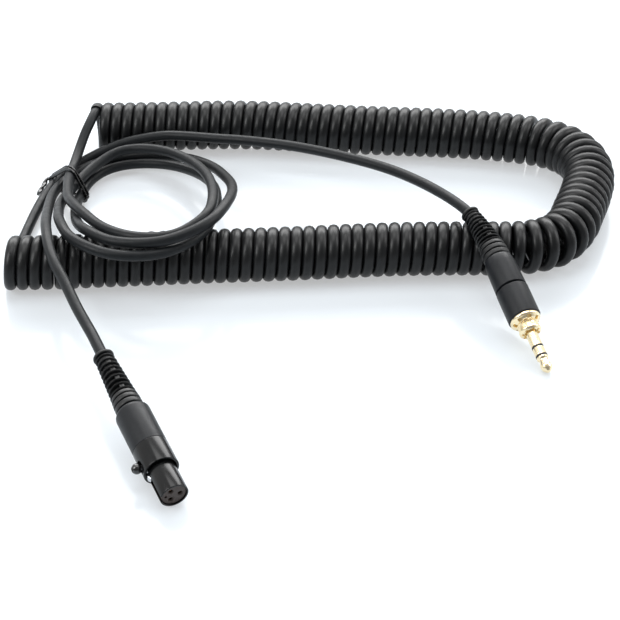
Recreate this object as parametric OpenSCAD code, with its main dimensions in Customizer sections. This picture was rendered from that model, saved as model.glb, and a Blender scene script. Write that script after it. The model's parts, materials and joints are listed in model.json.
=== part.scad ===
// Headphone cable: a curly cord laid in a hairpin, its two plain leads, three
// loops held by a twist tie, a 3.5 mm stereo jack and a small three-pin XLR
// socket with a sprung latch.
// The origin is on the surface that it lies on, in the middle of its box.
// Both connectors are drawn along +Z in their own frames and then laid down.

/* [Cable] */
// Diameter of the cable's jacket
wire_d = 3.3; // [2.8:0.05:3.5]
// Diameter of one insulated conductor
conductor_d = 0.84; // [0.6:0.02:0.9]

/* [Curly cord] */
// Outer diameter of the curls
curl_od = 16.8; // [15:0.1:17.2]
// Whole curls; half a curl more turns the end to the top
curl_count = 97; // [80:1:98]

/* [Jack boot] */
// Length of the ribbed part of the jack's boot
jboot_l = 20; // [18:0.5:21]
// Diameter of the boot at the cable
jboot_small_d = 5.7; // [5.4:0.1:6.2]
// Diameter of the boot at the housing
jboot_big_d = 8.5; // [7.6:0.1:8.8]
// Number of thin ribs on the jack's boot
jboot_ribs = 10; // [6:1:11]
// Bend of the boot in degrees
jboot_bend = 11.8; // [6:0.2:13]

/* [Jack] */
// Diameter of the jack's housings
jack_d = 9.9; // [9.2:0.1:10.2]
// Length of the rear housing
jack_rear_l = 11.7; // [11:0.1:13]
// Length of the front housing
jack_front_l = 11; // [10:0.1:12]
// Wall of the jack's housings
jack_wall = 1; // [0.8:0.05:1.1]
// Diameter of the collar's flange
flange_d = 9.2; // [8.6:0.1:9.8]
// Thickness of the collar's flange
flange_t = 1.2; // [0.8:0.1:1.6]
// Length of the collar's thread
thread_l = 2.8; // [2.2:0.1:3.4]
// Diameter of the collar's thread
thread_d = 6.3; // [5.9:0.1:6.9]
// Length of the ring in front of the thread
nose_ring_l = 1.2; // [0.8:0.1:1.6]
// Diameter of the plug's pin
pin_d = 3.5; // [3.4:0.05:3.6]
// Length of the plug's pin
pin_l = 14; // [13.5:0.1:14.5]
// Length of the pin's tip contact
tip_l = 5.3; // [5:0.1:5.6]
// Length of the pin's ring contact
ring_l = 2.6; // [2.4:0.1:2.8]
// Length of each insulating ring on the pin
band_l = 0.6; // [0.5:0.05:0.7]

/* [XLR boot] */
// Length of the XLR's boot up to its housing
xboot_l = 22.3; // [21:0.1:24]
// Diameter of the boot at the cable
xboot_small_d = 6; // [5.6:0.1:6.4]
// Diameter of the boot at the housing
xboot_big_d = 8.1; // [7.6:0.1:8.2]
// Number of thin ribs on the XLR's boot
xboot_ribs = 9; // [6:1:10]

/* [XLR body] */
// Diameter of the rear housing
xrear_d = 9.9; // [9.7:0.05:10.2]
// Length of the rear housing
xrear_l = 14.6; // [14.2:0.1:15]
// Diameter of the front sleeve
sleeve_d = 10; // [9.9:0.05:10.4]
// Length of the front sleeve
sleeve_l = 8.2; // [7.9:0.1:8.6]
// Wall of the rear housing and the front sleeve
xlr_wall = 0.75; // [0.6:0.05:0.8]
// Diameter of the nose
nose_d = 7.9; // [7.8:0.05:8]
// Length of the nose in front of the sleeve
nose_l = 9.1; // [8.6:0.1:9.8]
// Wall of the nose shell
nose_wall = 0.5; // [0.4:0.05:0.55]
// Width of the key slot along the nose
key_w = 2; // [1.9:0.05:2.2]

/* [Contacts] */
// Distance of the three contacts from the centre
contact_r = 1.75; // [1.72:0.01:1.8]
// Diameter of a contact
contact_d = 1.6; // [1.4:0.05:1.65]
// Diameter of the holes in the insert's face
face_hole_d = 1.2; // [1:0.05:1.4]

/* [Latch] */
// Diameter of the latch button's ball
button_d = 3; // [2.8:0.05:3.1]
// Distance of the ball's centre from the connector's centre
button_r = 5.85; // [5.8:0.05:6.2]
// Thickness of the latch strip
strip_t = 0.35; // [0.3:0.01:0.36]
// Width of the latch strip
strip_w = 1.5; // [1.2:0.05:1.55]
// Radius of the strip's rolled end, which is its pivot
roll_r = 0.5; // [0.45:0.01:0.52]

/* [Tie] */
// Thickness of the tie's strip
tie_t = 0.5; // [0.4:0.05:0.55]
// Width of one wrap of the tie
tie_w = 1.3; // [1:0.05:1.4]
// Gap between the two wraps
tie_gap = 0.4; // [0.3:0.05:0.6]

/* [Hidden] */

$fn = 48;
eps = 0.01;
fit = 0.05;             // radial clearance of parts that are pushed together
press = 0.02;           // radial gap left in the drawing of a press fit
bore_clear = 0.1;       // radial clearance round the cable in a boot
wire_r = wire_d / 2;
shift = [-1.944, -1.091, 0];  // moves the middle of the whole box onto the origin

// ---------------------------------------------------------------- vectors
function unit(v) = v / norm(v);
function smooth(x) = let(c = max(0, min(1, x))) c * c * (3 - 2 * c);
function sum_to(v) = [for (i = 0, s = 0; i <= len(v); s = s + (i < len(v) ? v[i] : 0), i = i + 1) s];
// A smooth curve through points: `steps` points to each stretch
function spline(p, steps) = let(n = len(p)) concat(
    [for (i = [0 : n - 2], j = [0 : steps - 1]) let(t = j / steps,
        a = i > 0 ? p[i - 1] : 2 * p[0] - p[1], b = p[i], c = p[i + 1],
        d = i < n - 2 ? p[i + 2] : 2 * p[n - 1] - p[n - 2])
        0.5 * (2 * b + (c - a) * t + (2 * a - 5 * b + 4 * c - d) * t * t
            + (3 * b - a - 3 * c + d) * t * t * t)], [p[n - 1]]);
gap_skip = 20;          // points along a wire that count as its own neighbours
curl_reach = 28;        // points from one curl to the next
loop_reach = 400;       // points from a loop to the loops after it
// Least distance among points that are from `skip` to `reach` places apart
function least_gap(p, skip, reach) = min([for (i = [0 : len(p) - 1 - skip],
    j = [i + skip : min(len(p) - 1, i + reach)]) norm(p[i] - p[j])]);

// ---------------------------------------------------------------- tubes
// The faces of a tube of `rings` rings with `sides` corners each, all triangles
function tube_faces(rings, sides) = let(last = (rings - 1) * sides) concat(
    [for (i = [0 : rings - 2], k = [0 : sides - 1]) let(m = (k + 1) % sides,
        a = i * sides + k, b = i * sides + m, c = a + sides) [a, b, c]],
    [for (i = [0 : rings - 2], k = [0 : sides - 1]) let(m = (k + 1) % sides,
        b = i * sides + m, c = i * sides + k + sides, d = b + sides) [b, d, c]],
    [for (k = [1 : sides - 2]) [0, k + 1, k]],
    [for (k = [1 : sides - 2]) [last, last + k, last + k + 1]]);

// A plain tube along points p, whose ends face along a and b; no stretch runs along up
module tube(p, r, sides, a, b, up = [0, 0, 1]) {
    n = len(p);
    pts = [for (i = [0 : n - 1])
        let(t = i == 0 ? a : i == n - 1 ? b : unit(p[i + 1] - p[i - 1]),
            s = unit(cross(up, t)), u = cross(t, s))
        for (k = [0 : sides - 1]) let(w = (k + 0.5) * 360 / sides)
            p[i] + r * (cos(w) * s + sin(w) * u)];
    polyhedron(pts, tube_faces(n, sides), convexity = 10);
}

// ---------------------------------------------------------------- curly cord
curl_rings = 7;         // rings to each curl
curl_sides = 6;
flat_cut = wire_d / 10; // depth of the flat that the curls stand on
curl_axis_h = curl_od / 2 * cos(180 / curl_rings) - flat_cut;
// From the centre of the curls to the centre of the wire
curl_r = curl_od / 2 - wire_r * cos(180 / curl_sides);
lead_h = wire_r + 0.1;  // height of the middle of a lead that lies on the surface
curl_ease = lead_h + curl_r - curl_axis_h;  // draws the first curl in to the lead's height

// The hairpin's middle line, from the front left end round to the back left
hairpin = [[-92.75, 6.2], [-78, 6.6], [-65, 7.6], [-50, 8.6], [-34.7, 9.7], [-19.4, 10.6],
    [-4, 11.6], [11.3, 12.9], [26.8, 13.9], [42.3, 14.3], [54.5, 14.3], [65.4, 14.9], [74.9, 18.7],
    [81, 26.6], [84.6, 36.2], [87.9, 45.9], [90.3, 55.9], [89.9, 65.8], [85.6, 74.3], [77.4, 80],
    [67.6, 83], [57, 85], [45.4, 86.4], [29.8, 87.6], [12.7, 88.9], [-4.4, 90.6], [-21.6, 92.1],
    [-35.4, 92.1], [-56, 91.1], [-74, 90.6]];
line = spline(hairpin, 10);
line_n = len(line);
line_t = [for (i = [0 : line_n - 1]) unit(line[min(line_n - 1, i + 1)] - line[max(0, i - 1)])];
// Length along the inner side of the bend, where the curls lie closest
inner_steps = [for (i = [0 : line_n - 2]) let(ds = norm(line[i + 1] - line[i]),
    turn = line_t[i].x * line_t[i + 1].y - line_t[i].y * line_t[i + 1].x) ds - curl_r * abs(turn)];
inner_at = sum_to(inner_steps);
curl_turn = curl_count * 360 + 180;
curl_pitch = inner_at[line_n - 1] * 360 / curl_turn;
to_line = [for (i = [0 : line_n - 1]) [inner_at[i], i]];

// Centre of the wire after the angle a of curling
function curl_point(a) = let(f = lookup(a / 360 * curl_pitch, to_line),
    i = min(line_n - 2, floor(f)), g = f - i, c = line[i] * (1 - g) + line[i + 1] * g,
    t = unit(line_t[i] * (1 - g) + line_t[i + 1] * g),
    r = curl_r - curl_ease * (1 - smooth(a / 180)), w = -90 - a)
    [c.x - t.y * r * cos(w), c.y + t.x * r * cos(w), curl_axis_h + r * sin(w)];
function curl_out(a) = let(f = lookup(a / 360 * curl_pitch, to_line),
    i = min(line_n - 2, floor(f)), g = f - i,
    t = unit(line_t[i] * (1 - g) + line_t[i + 1] * g), w = -90 - a)
    [-t.y * cos(w), t.x * cos(w), sin(w)];
// The rings stand so that each curl has a level stretch underneath
curl_step = 360 / curl_rings;
curl_angles = concat([0], [for (a = curl_step / 2; a < curl_turn - 1; a = a + curl_step) a], [curl_turn]);
curl_points = [for (a = curl_angles) curl_point(a)];
// Directions of the wire at the two ends, level with the surface
start_dir = let(d = curl_point(4) - curl_point(0)) unit([d.x, d.y, 0]);
end_dir = let(d = curl_point(curl_turn) - curl_point(curl_turn - 4)) unit([d.x, d.y, 0]);
curl_start = curl_points[0] - start_dir * wire_d;
curl_end = curl_points[len(curl_points) - 1] + end_dir * wire_d;

function curl_ring(c, t, out) = let(o = unit(out - t * (out * t)), s = cross(t, o))
    [for (k = [0 : curl_sides - 1]) let(w = (k + 0.5) * 360 / curl_sides,
        q = c + wire_r * (cos(w) * o + sin(w) * s)) [q.x, q.y, max(0, q.z)]];

module curly_cord() {
    n = len(curl_points);
    c = concat([curl_start], curl_points, [curl_end]);
    out = concat([[0, 0, -1]], [for (a = curl_angles) curl_out(a)], [[0, 0, 1]]);
    rings = [for (i = [0 : n + 1])
        let(t = i <= 1 ? start_dir : i >= n ? end_dir : unit(c[i + 1] - c[i - 1]))
        each curl_ring(c[i], t, out[i])];
    fine = [for (a = [0 : 15 : curl_turn]) curl_point(a)];
    echo(str("curly cord: least gap of the wire to itself ",
        least_gap(fine, gap_skip, curl_reach) - wire_d, " mm, pitch ", curl_pitch, " mm"));
    color([0.09, 0.09, 0.1]) translate(shift)
        polyhedron(rings, tube_faces(n + 2, curl_sides), convexity = 20);
}

// ---------------------------------------------------------------- tied loops
loop_sides = 6;
// Three turns of the wire and a short straight stretch at each end, for the drawn
// diameters of the wire and the curls
loop_way = [[-79.62, 66.87, 7.17], [-79.87, 63.27, 7.45], [-79.97, 58.58, 8.41], [-79.75, 53.45, 9.51],
    [-79.06, 46.27, 10.88], [-77.82, 37.66, 12.7], [-75.09, 29.37, 15.16],
    [-70.53, 19.91, 17.49], [-63.53, 10.1, 18.48], [-52.99, 3.57, 19.41], [-41.38, 3.38, 20.42],
    [-32.46, 11.41, 22.27], [-31.01, 24.13, 21.1], [-32.35, 37.26, 18.46],
    [-35.43, 49.05, 15.8], [-40.68, 59.84, 13.36], [-48.65, 69, 11.37], [-57.73, 73.66, 9.82],
    [-65.28, 73.56, 8.68], [-70.49, 69.97, 7.15], [-74.33, 65.16, 6.3], [-77.03, 59.9, 5.73],
    [-78.82, 55.09, 5.58], [-79.88, 50.91, 5.89], [-80.78, 45.55, 6.97], [-80.82, 38, 9.33],
    [-79.76, 28.16, 13.09], [-77.65, 15.47, 17.58], [-72.03, 2.3, 19.43],
    [-59.82, -5.09, 18.89], [-44.78, -3.9, 18.56], [-33.56, 6.56, 18.85],
    [-30.31, 22.73, 17.77], [-30.84, 37.4, 14.66], [-33.62, 50.02, 11.18],
    [-38.95, 61.14, 7.93], [-47.1, 69.81, 5.45], [-56.39, 73.77, 3.88], [-64.72, 73.4, 3.24],
    [-70.68, 69.87, 2.84], [-74.08, 64.91, 2.51], [-75.73, 59.8, 2.4], [-76.52, 54.92, 2.68],
    [-76.87, 50.26, 3.42], [-76.76, 45.05, 4.71], [-76.13, 38.69, 6.78], [-74.93, 30.65, 9.9],
    [-73.08, 20.2, 14.31], [-69.15, 8.32, 19.24], [-59.2, -0.83, 20.61], [-44.34, -2.63, 22.03],
    [-31.6, 4.63, 23.79], [-25.99, 19.27, 22.73], [-25.54, 35.7, 17.76], [-28.59, 50.94, 12.48],
    [-34.1, 64.51, 8.52], [-43.33, 74.36, 5.77], [-54.42, 78, 4.41], [-64.7, 77.07, 4.19],
    [-72.73, 73.63, 4.11], [-78.14, 69.18, 3.67], [-81.6, 64.35, 3.46], [-82.68, 62.21, 3.58]];
drawn_wire_r = 1.65;
drawn_curl_od = 16.8;
curls_end_y = 26;               // where a strand leaves the front curls
slope_end_y = 58;               // where it meets the surface
// Wider curls and a thicker wire lift what lies on them
function lifted(p) = p + [0, 0, wire_r - drawn_wire_r + (curl_od - drawn_curl_od)
    * (1 - smooth((p.y - curls_end_y) / (slope_end_y - curls_end_y)))];
loop_path = [for (p = loop_way) lifted(p)];
loop_n = len(loop_path);
loop_in_dir = unit(loop_path[1] - loop_path[0]);
loop_out_dir = unit(loop_path[loop_n - 1] - loop_path[loop_n - 2]);

module tied_loops() {
    fine = [for (i = [0 : loop_n - 2], t = [0 : 0.2 : 0.8])
        loop_path[i] * (1 - t) + loop_path[i + 1] * t];
    echo(str("tied loops: least gap of the wire to itself ",
        least_gap(fine, gap_skip, loop_reach) - wire_d, " mm"));
    color([0.25, 0.26, 0.27]) translate(shift)
        tube(loop_path, wire_r, loop_sides, loop_in_dir, loop_out_dir);
}

// ---------------------------------------------------------------- places of the connectors
// Lays an object that is drawn along +Z down at p, heading and dipping as given
module laid(p, heading, dip, roll) {
    translate(p) rotate([0, 90 + dip, heading]) rotate([0, 0, roll]) children();
}
function along(heading, dip) = [cos(dip) * cos(heading), cos(dip) * sin(heading), -sin(dip)];

// The jack: its frame starts at the rear housing's rear face
jack_heading = -72;
jack_dip = 19;
jack_tip_at = [67.5, -39.3];
collar_l = flange_t + thread_l + nose_ring_l;
jack_split = jack_rear_l;
jack_face = jack_split + jack_front_l;
pin_base = jack_face + collar_l;
jack_l = pin_base + pin_l;
tip_bulge = 2.3;                // from the tip's end back to its widest place
tip_cone = 1.6;                 // length of the tip's cone
tip_cone_r = pin_d / 2 * 0.9;   // its radius, where the pin rests on the surface
jack_axis = along(jack_heading, jack_dip);
jack_tip_h = tip_cone_r * cos(jack_dip) - tip_cone * sin(jack_dip);
jack_at = [jack_tip_at.x, jack_tip_at.y, jack_tip_h] - jack_axis * jack_l;
jboot_r = jboot_l / (jboot_bend * PI / 180);
jboot_turn = -72;               // way in which the boot bends, round the jack's axis

// The XLR: its frame starts at the boot's small end, +X points at the latch
xlr_heading = -65;
xlr_dip = 10;
xlr_nose_at = [-36.2, -96.5];
sleeve_at = xboot_l + xrear_l;
rim_at = sleeve_at + sleeve_l;
xlr_l = rim_at + nose_l;
xlr_axis = along(xlr_heading, xlr_dip);
xlr_at = [xlr_nose_at.x, xlr_nose_at.y, nose_d / 2 * cos(xlr_dip)] - xlr_axis * xlr_l;

module jack_place() { laid(jack_at + shift, jack_heading, jack_dip, 0) children(); }
module xlr_place() { laid(xlr_at + shift, xlr_heading, xlr_dip, -90) children(); }

// ---------------------------------------------------------------- jack: shapes
// A ring of outer radius r, bore radius b, from height z0 to z1
module ring(r, b, z0, z1) {
    translate([0, 0, z0]) difference() {
        cylinder(r = r, h = z1 - z0);
        translate([0, 0, -eps]) cylinder(r = b, h = z1 - z0 + 2 * eps);
    }
}

boot_core_r = wire_r + bore_clear + 0.6;
boot_bore_r = wire_r + bore_clear;
jplug_l = 2;                    // the boot's end inside the rear housing
jplug_r = 3.1;
jack_in_r = jack_d / 2 - jack_wall;
spigot_l = 3;
spigot_wall = 0.7;

// Puts things where the boot's bend has come to, u from its housing end back
module on_boot(u) {
    rotate([0, 0, jboot_turn]) translate([jboot_r, 0, 0]) rotate([0, -u / jboot_r * 180 / PI, 0])
        translate([-jboot_r, 0, 0]) children();
}
function boot_point(u) = let(w = u / jboot_r * 180 / PI, x = jboot_r * (1 - cos(w)))
    [x * cos(jboot_turn), x * sin(jboot_turn), -jboot_r * sin(w)];
// The same arc as a solid round tube of radius r
module boot_arc(r, extra) {
    rotate([0, 0, jboot_turn]) translate([jboot_r, 0, 0]) rotate([90, 0, 0])
        rotate([0, 0, 180 - extra]) rotate_extrude(angle = jboot_bend + 2 * extra, $fn = 96)
            translate([jboot_r, 0]) circle(r = r);
}

bands_l = 5.2;                  // the thick bands and the neck at the housing end
bead_l = 1.3;
web_w = 1.3;                    // width of the webs between the ribs, which face up and sideways in turn
module jack_boot() {
    rib_run = jboot_l - bands_l - bead_l;
    pitch = rib_run / jboot_ribs;
    rib_t = pitch * 0.52;
    color([0.07, 0.07, 0.08]) jack_place() difference() {
        union() {
            boot_arc(boot_core_r, 0);
            translate([0, 0, -0.5]) cylinder(r = jplug_r, h = jplug_l + 0.5);
            for (k = [0 : jboot_ribs - 1]) let(u = bands_l + (k + 0.5) * pitch,
                f = (u - bands_l) / rib_run)
                on_boot(u) cylinder(r = (jboot_big_d * (1 - f) + jboot_small_d * f) / 2 - 0.25,
                    h = rib_t, center = true);
            for (k = [0 : jboot_ribs - 2]) let(u = bands_l + (k + 1) * pitch,
                f = (u - bands_l) / rib_run, w = jboot_big_d * (1 - f) + jboot_small_d * f - 1.1)
                on_boot(u) rotate([0, 0, k % 2 * 90 - jboot_turn])
                    cube([w, web_w, pitch], center = true);
            on_boot(jboot_l - bead_l / 2) cylinder(r = jboot_small_d / 2, h = bead_l, center = true);
            on_boot(0.9) cylinder(r = jboot_big_d / 2, h = 1.7, center = true);
            on_boot(2.9) cylinder(r = jboot_big_d / 2 - 0.1, h = 1.4, center = true);
            on_boot(4.6) cylinder(r = jboot_big_d / 2 - 0.2, h = 1.2, center = true);
            on_boot(2.6) cylinder(r = jboot_big_d / 2 - 0.9, h = 5, center = true);
        }
        boot_arc(boot_bore_r, (jplug_l + 0.6) / jboot_r * 180 / PI);
    }
}

module jack_rear_housing() {
    shoulder = 2;
    color([0.13, 0.13, 0.14]) jack_place() difference() {
        rotate_extrude() polygon([[0, 0], [jboot_big_d / 2 + 0.05, 0],
            [jack_d / 2 - 0.3, shoulder], [jack_d / 2 - 0.1, jack_split - 0.5],
            [jack_d / 2 - 0.35, jack_split], [0, jack_split]]);
        translate([0, 0, -eps]) cylinder(r = jplug_r + fit, h = jplug_l + 2 * eps);
        translate([0, 0, jplug_l]) cylinder(r = jack_in_r, h = jack_l);
    }
}

core_at = jack_face - 5.2;      // rear face of the core insulator's rim
module jack_front_housing() {
    inner = jack_in_r - fit - spigot_wall;
    color([0.13, 0.13, 0.14]) jack_place() difference() {
        union() {
            rotate_extrude() polygon([[0, jack_split], [jack_d / 2 - 0.35, jack_split],
                [jack_d / 2 - 0.05, jack_split + 0.6], [jack_d / 2, jack_face - 0.3],
                [jack_d / 2 - 0.2, jack_face], [0, jack_face]]);
            translate([0, 0, jack_split - spigot_l]) cylinder(r = jack_in_r - fit, h = spigot_l + 1);
        }
        translate([0, 0, jack_split - spigot_l - eps]) cylinder(r = inner, h = jack_l);
        translate([0, 0, core_at]) cylinder(r = jack_in_r, h = jack_l);
    }
}

sleeve_in_r = pin_d / 2 - 0.35;
ring_tube_r = sleeve_in_r - 0.3;
tip_tube_r = ring_tube_r - 0.3;
tip_rod_r = tip_tube_r - 0.4;
sleeve_flange_t = 1.5;
collar_tail_l = 3;
pin_relief = 0.2;               // how much thinner the sleeve contact is inside the collar
collar_step = jack_face - 0.5;  // inner step that the sleeve contact's flange rests on

module jack_collar() {
    tail_r = jack_in_r - fit;
    color([0.88, 0.72, 0.42]) jack_place() difference() {
        rotate_extrude() polygon([[0, jack_face - collar_tail_l], [tail_r, jack_face - collar_tail_l],
            [tail_r, jack_face], [flange_d / 2, jack_face], [flange_d / 2, jack_face + flange_t * 0.4],
            [flange_d / 2 - 0.7, jack_face + flange_t], [thread_d / 2, jack_face + flange_t],
            [thread_d / 2, jack_face + flange_t + thread_l],
            [thread_d / 2 + 0.2, jack_face + flange_t + thread_l + 0.2],
            [thread_d / 2 + 0.2, pin_base - 0.4], [thread_d / 2 - 0.3, pin_base], [0, pin_base]]);
        translate([0, 0, jack_face - collar_tail_l - eps]) cylinder(r = pin_d / 2 + fit, h = jack_l);
        translate([0, 0, jack_face - collar_tail_l - eps])
            cylinder(r = 3, h = collar_step - jack_face + collar_tail_l + eps);
    }
}

module jack_sleeve_contact() {
    front = jack_l - tip_l - ring_l - 2 * band_l;
    color([0.88, 0.72, 0.42]) jack_place() difference() {
        union() {
            ring(3 - fit, sleeve_in_r, collar_step - sleeve_flange_t, collar_step);
            ring(pin_d / 2 - pin_relief, sleeve_in_r, collar_step - sleeve_flange_t, pin_base + eps);
            ring(pin_d / 2, sleeve_in_r, pin_base, front);
        }
        translate([0, 0, 0]) cylinder(r = sleeve_in_r, h = jack_l);
    }
}

ring_head = jack_l - tip_l - band_l - ring_l;
module jack_ring_contact() {
    color([0.88, 0.72, 0.42]) jack_place() {
        ring(pin_d / 2, tip_tube_r, ring_head, ring_head + ring_l);
        ring(ring_tube_r - press, tip_tube_r, lug_ring_at + lug_t, ring_head + eps);
    }
}

lug_t = 0.4;
lug_tip_at = core_at - 6.5;
lug_ring_at = core_at - 3;
tip_head = jack_l - tip_l;
module jack_tip_contact() {
    r = pin_d / 2;
    color([0.88, 0.72, 0.42]) jack_place() rotate_extrude() polygon([[0, lug_tip_at - 0.8],
        [tip_rod_r - press, lug_tip_at - 0.8], [tip_rod_r - press, tip_head], [r, tip_head],
        [r, tip_head + 0.6],
        [r * 0.62, tip_head + 1.3], [r * 0.66, tip_head + 1.9], [r * 0.9, jack_l - tip_bulge - 0.4],
        [r, jack_l - tip_bulge], [tip_cone_r, jack_l - tip_cone], [r * 0.42, jack_l - 0.35],
        [r * 0.2, jack_l], [0, jack_l]]);
}

module jack_sleeve_insulator() {
    z = ring_head - band_l;
    color([0.05, 0.05, 0.05]) jack_place() {
        ring(pin_d / 2, ring_tube_r, z, ring_head);
        ring(sleeve_in_r - press, ring_tube_r, core_at - 1.5, z + eps);
    }
}

module jack_tip_insulator() {
    z = tip_head - band_l;
    color([0.05, 0.05, 0.05]) jack_place() {
        ring(pin_d / 2, tip_rod_r, z, tip_head);
        ring(tip_tube_r - press, tip_rod_r, lug_tip_at + lug_t, z + eps);
    }
}

module jack_core_insulator() {
    back = jack_face - collar_tail_l;
    front = collar_step - sleeve_flange_t;
    color([0.05, 0.05, 0.05]) jack_place() {
        ring(jack_in_r - fit, sleeve_in_r, core_at, back);
        ring(3 - fit, sleeve_in_r, back - eps, front);
    }
}

tail_l = 2.4;
module lug(z, bore, side) {
    translate([0, 0, z]) difference() {
        union() {
            cylinder(r = bore + 0.75, h = lug_t);
            rotate([0, 0, side]) translate([bore + 0.3, -0.5, -tail_l]) cube([0.45, 1, tail_l + lug_t]);
        }
        translate([0, 0, -tail_l - 1]) cylinder(r = bore, h = tail_l + 2);
    }
}
module jack_solder_lugs() {
    color([0.75, 0.7, 0.6]) jack_place() {
        lug(lug_tip_at, tip_rod_r, 0);
        lug(lug_ring_at, tip_tube_r, 180);
    }
}

clamp_at = 3;
clamp_l = 3.5;
clamp_wall = 0.6;
jacket_end = clamp_at + clamp_l - 0.5;  // where the cable's jacket is cut back
module jack_cable_clamp() {
    r = wire_r + clamp_wall;
    color([0.75, 0.7, 0.6]) jack_place() {
        ring(r, wire_r + press, clamp_at, clamp_at + clamp_l);
        translate([0, r - 0.3, clamp_at]) translate([-0.6, 0, 0])
            cube([1.2, 0.6, core_at - clamp_at]);
    }
}

// A wire from point a to point b, and on along the axis for a length `tip`
module conductor(a, b, tip, side) {
    rotate([0, 0, side]) tube([a, b, b + [0, 0, tip]], conductor_d / 2, 8, [0, 0, 1], [0, 0, 1], [0, 1, 0]);
}
module jack_conductors() {
    r = conductor_d / 2;
    tip_side = tip_rod_r + 0.75;
    ring_side = tip_tube_r + 0.75;
    color([0.7, 0.2, 0.15]) jack_place() {
        conductor([0.75, 0, jacket_end], [tip_side + r, 0, lug_tip_at - tail_l], 1.2, 0);
        conductor([0.75, 0, jacket_end], [ring_side + r, 0, lug_ring_at - tail_l], 1.2, 180);
        conductor([0.75, 0, jacket_end], [wire_r + clamp_wall - 0.3 - r, 0, jacket_end + 3], 1, 90);
    }
}

// ---------------------------------------------------------------- XLR: shapes
xplug_l = 3;
xplug_r = 3.5;
xrear_in_r = xrear_d / 2 - xlr_wall;
sleeve_in = sleeve_d / 2 - xlr_wall;
insert_r = nose_d / 2 - nose_wall - fit;
stop_r = insert_r + 0.2;        // bore of the sleeve's spigot and inner stop
spig_l = 2.4;
stop_at = sleeve_at + 0.6;      // front face of the sleeve's inner stop
insert_flange_t = 1;
shell_at = stop_at + insert_flange_t;
face_at = xlr_l - 0.6;          // the insert's face, a little inside the nose
insert_at = sleeve_at - 1.5;    // the insert's rear face
roll_at = sleeve_at - 0.4;      // pivot of the latch strip
roll_h = insert_r - 0.3;        // distance of the pivot from the centre
strip_in = roll_h + roll_r - 0.1;
strip_out = strip_in + strip_t;
hook_at = rim_at + 0.5;
hook_l = 1.6;
hook_out = sleeve_in + 0.1;
button_at = sleeve_at + 5.2;
button_hole_d = button_d + 0.8; // leaves room for the ball's swing
notch_w = key_w + 0.4;          // keyway for the strip through the sleeve's stop
latch_travel = 5.5;             // degrees that the latch turns when pressed
channel_in = strip_in - (hook_at + hook_l - roll_at) * sin(latch_travel) - 0.2;
channel_end = hook_at + hook_l + 0.6;
seat_gap = 0.05;
nose_relief = 0.2;              // how much lower the shell is behind and beside the hook
seat_at = hook_at + hook_l + 0.1;   // start of the nose's full diameter

module xlr_boot() {
    neck_l = 1.3;
    band1 = 2;
    bead = 1.6;
    ribs_end = xboot_l - neck_l - 2 * band1 - 0.5;
    pitch = (ribs_end - bead) / xboot_ribs;
    color([0.07, 0.07, 0.08]) xlr_place() difference() {
        union() {
            cylinder(r = boot_core_r, h = xboot_l);
            cylinder(r = xboot_small_d / 2, h = bead);
            for (k = [0 : xboot_ribs - 1]) let(z = bead + (k + 0.45) * pitch, f = z / ribs_end)
                translate([0, 0, z]) cylinder(h = pitch * 0.5,
                    r = (xboot_small_d * (1 - f) + xboot_big_d * f) / 2 - 0.15);
            for (k = [1 : xboot_ribs - 1]) let(z = bead + (k + 0.2) * pitch, f = z / ribs_end)
                translate([0, 0, z]) rotate([0, 0, k % 2 * 90])
                    cube([xboot_small_d * (1 - f) + xboot_big_d * f - 1.1, web_w, pitch], center = true);
            translate([0, 0, ribs_end + 0.3]) cylinder(r = xboot_big_d / 2, h = band1 - 0.3);
            translate([0, 0, ribs_end + band1 + 0.4]) cylinder(r = xboot_big_d / 2 - 0.05, h = band1 - 0.2);
            translate([0, 0, ribs_end - 1]) cylinder(r = xplug_r + 0.2, h = xboot_l - ribs_end + 1);
            translate([0, 0, ribs_end]) cylinder(r = xplug_r, h = xboot_l - ribs_end + xplug_l);
        }
        translate([0, 0, -1]) cylinder(r = boot_bore_r, h = xboot_l + xplug_l + 2);
    }
}

module xlr_rear_housing() {
    r = xrear_d / 2;
    round_r = 1.6;
    color([0.13, 0.13, 0.14]) xlr_place() difference() {
        rotate_extrude() union() {
            translate([0, xboot_l + round_r]) square([r, xrear_l - round_r]);
            translate([0, xboot_l]) square([r - round_r, xrear_l]);
            translate([r - round_r, xboot_l + round_r]) circle(r = round_r);
        }
        translate([0, 0, xboot_l - eps]) cylinder(r = xplug_r + fit, h = xplug_l + 2 * eps);
        translate([0, 0, xboot_l + xplug_l]) cylinder(r = xrear_in_r, h = xlr_l);
    }
}

module xlr_front_sleeve() {
    color([0.09, 0.09, 0.1]) xlr_place() difference() {
        union() {
            translate([0, 0, sleeve_at]) cylinder(r = sleeve_d / 2, h = sleeve_l);
            translate([0, 0, sleeve_at - spig_l]) cylinder(r = xrear_in_r - fit, h = spig_l + 1);
        }
        translate([0, 0, sleeve_at - spig_l - eps]) cylinder(r = stop_r, h = xlr_l);
        translate([0, 0, stop_at]) cylinder(r = sleeve_in, h = xlr_l);
        translate([0, -notch_w / 2, sleeve_at - spig_l - eps]) cube([sleeve_in - 0.05, notch_w, spig_l + 1]);
        translate([0, 0, button_at]) rotate([0, 90, 0]) cylinder(d = button_hole_d, h = sleeve_d);
    }
}

module xlr_nose_shell() {
    color([0.1, 0.1, 0.11]) xlr_place() difference() {
        union() {
            translate([0, 0, shell_at]) cylinder(r = nose_d / 2 - nose_relief, h = xlr_l - shell_at - eps);
            translate([0, 0, seat_at]) cylinder(r = nose_d / 2, h = xlr_l - seat_at);
            translate([0, 0, shell_at]) cylinder(r = sleeve_in - fit, h = 1.5);
        }
        translate([0, 0, shell_at - eps]) cylinder(r = nose_d / 2 - nose_wall, h = xlr_l);
        translate([0, -key_w / 2, shell_at - eps]) cube([nose_d, key_w, xlr_l]);
    }
}

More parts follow.
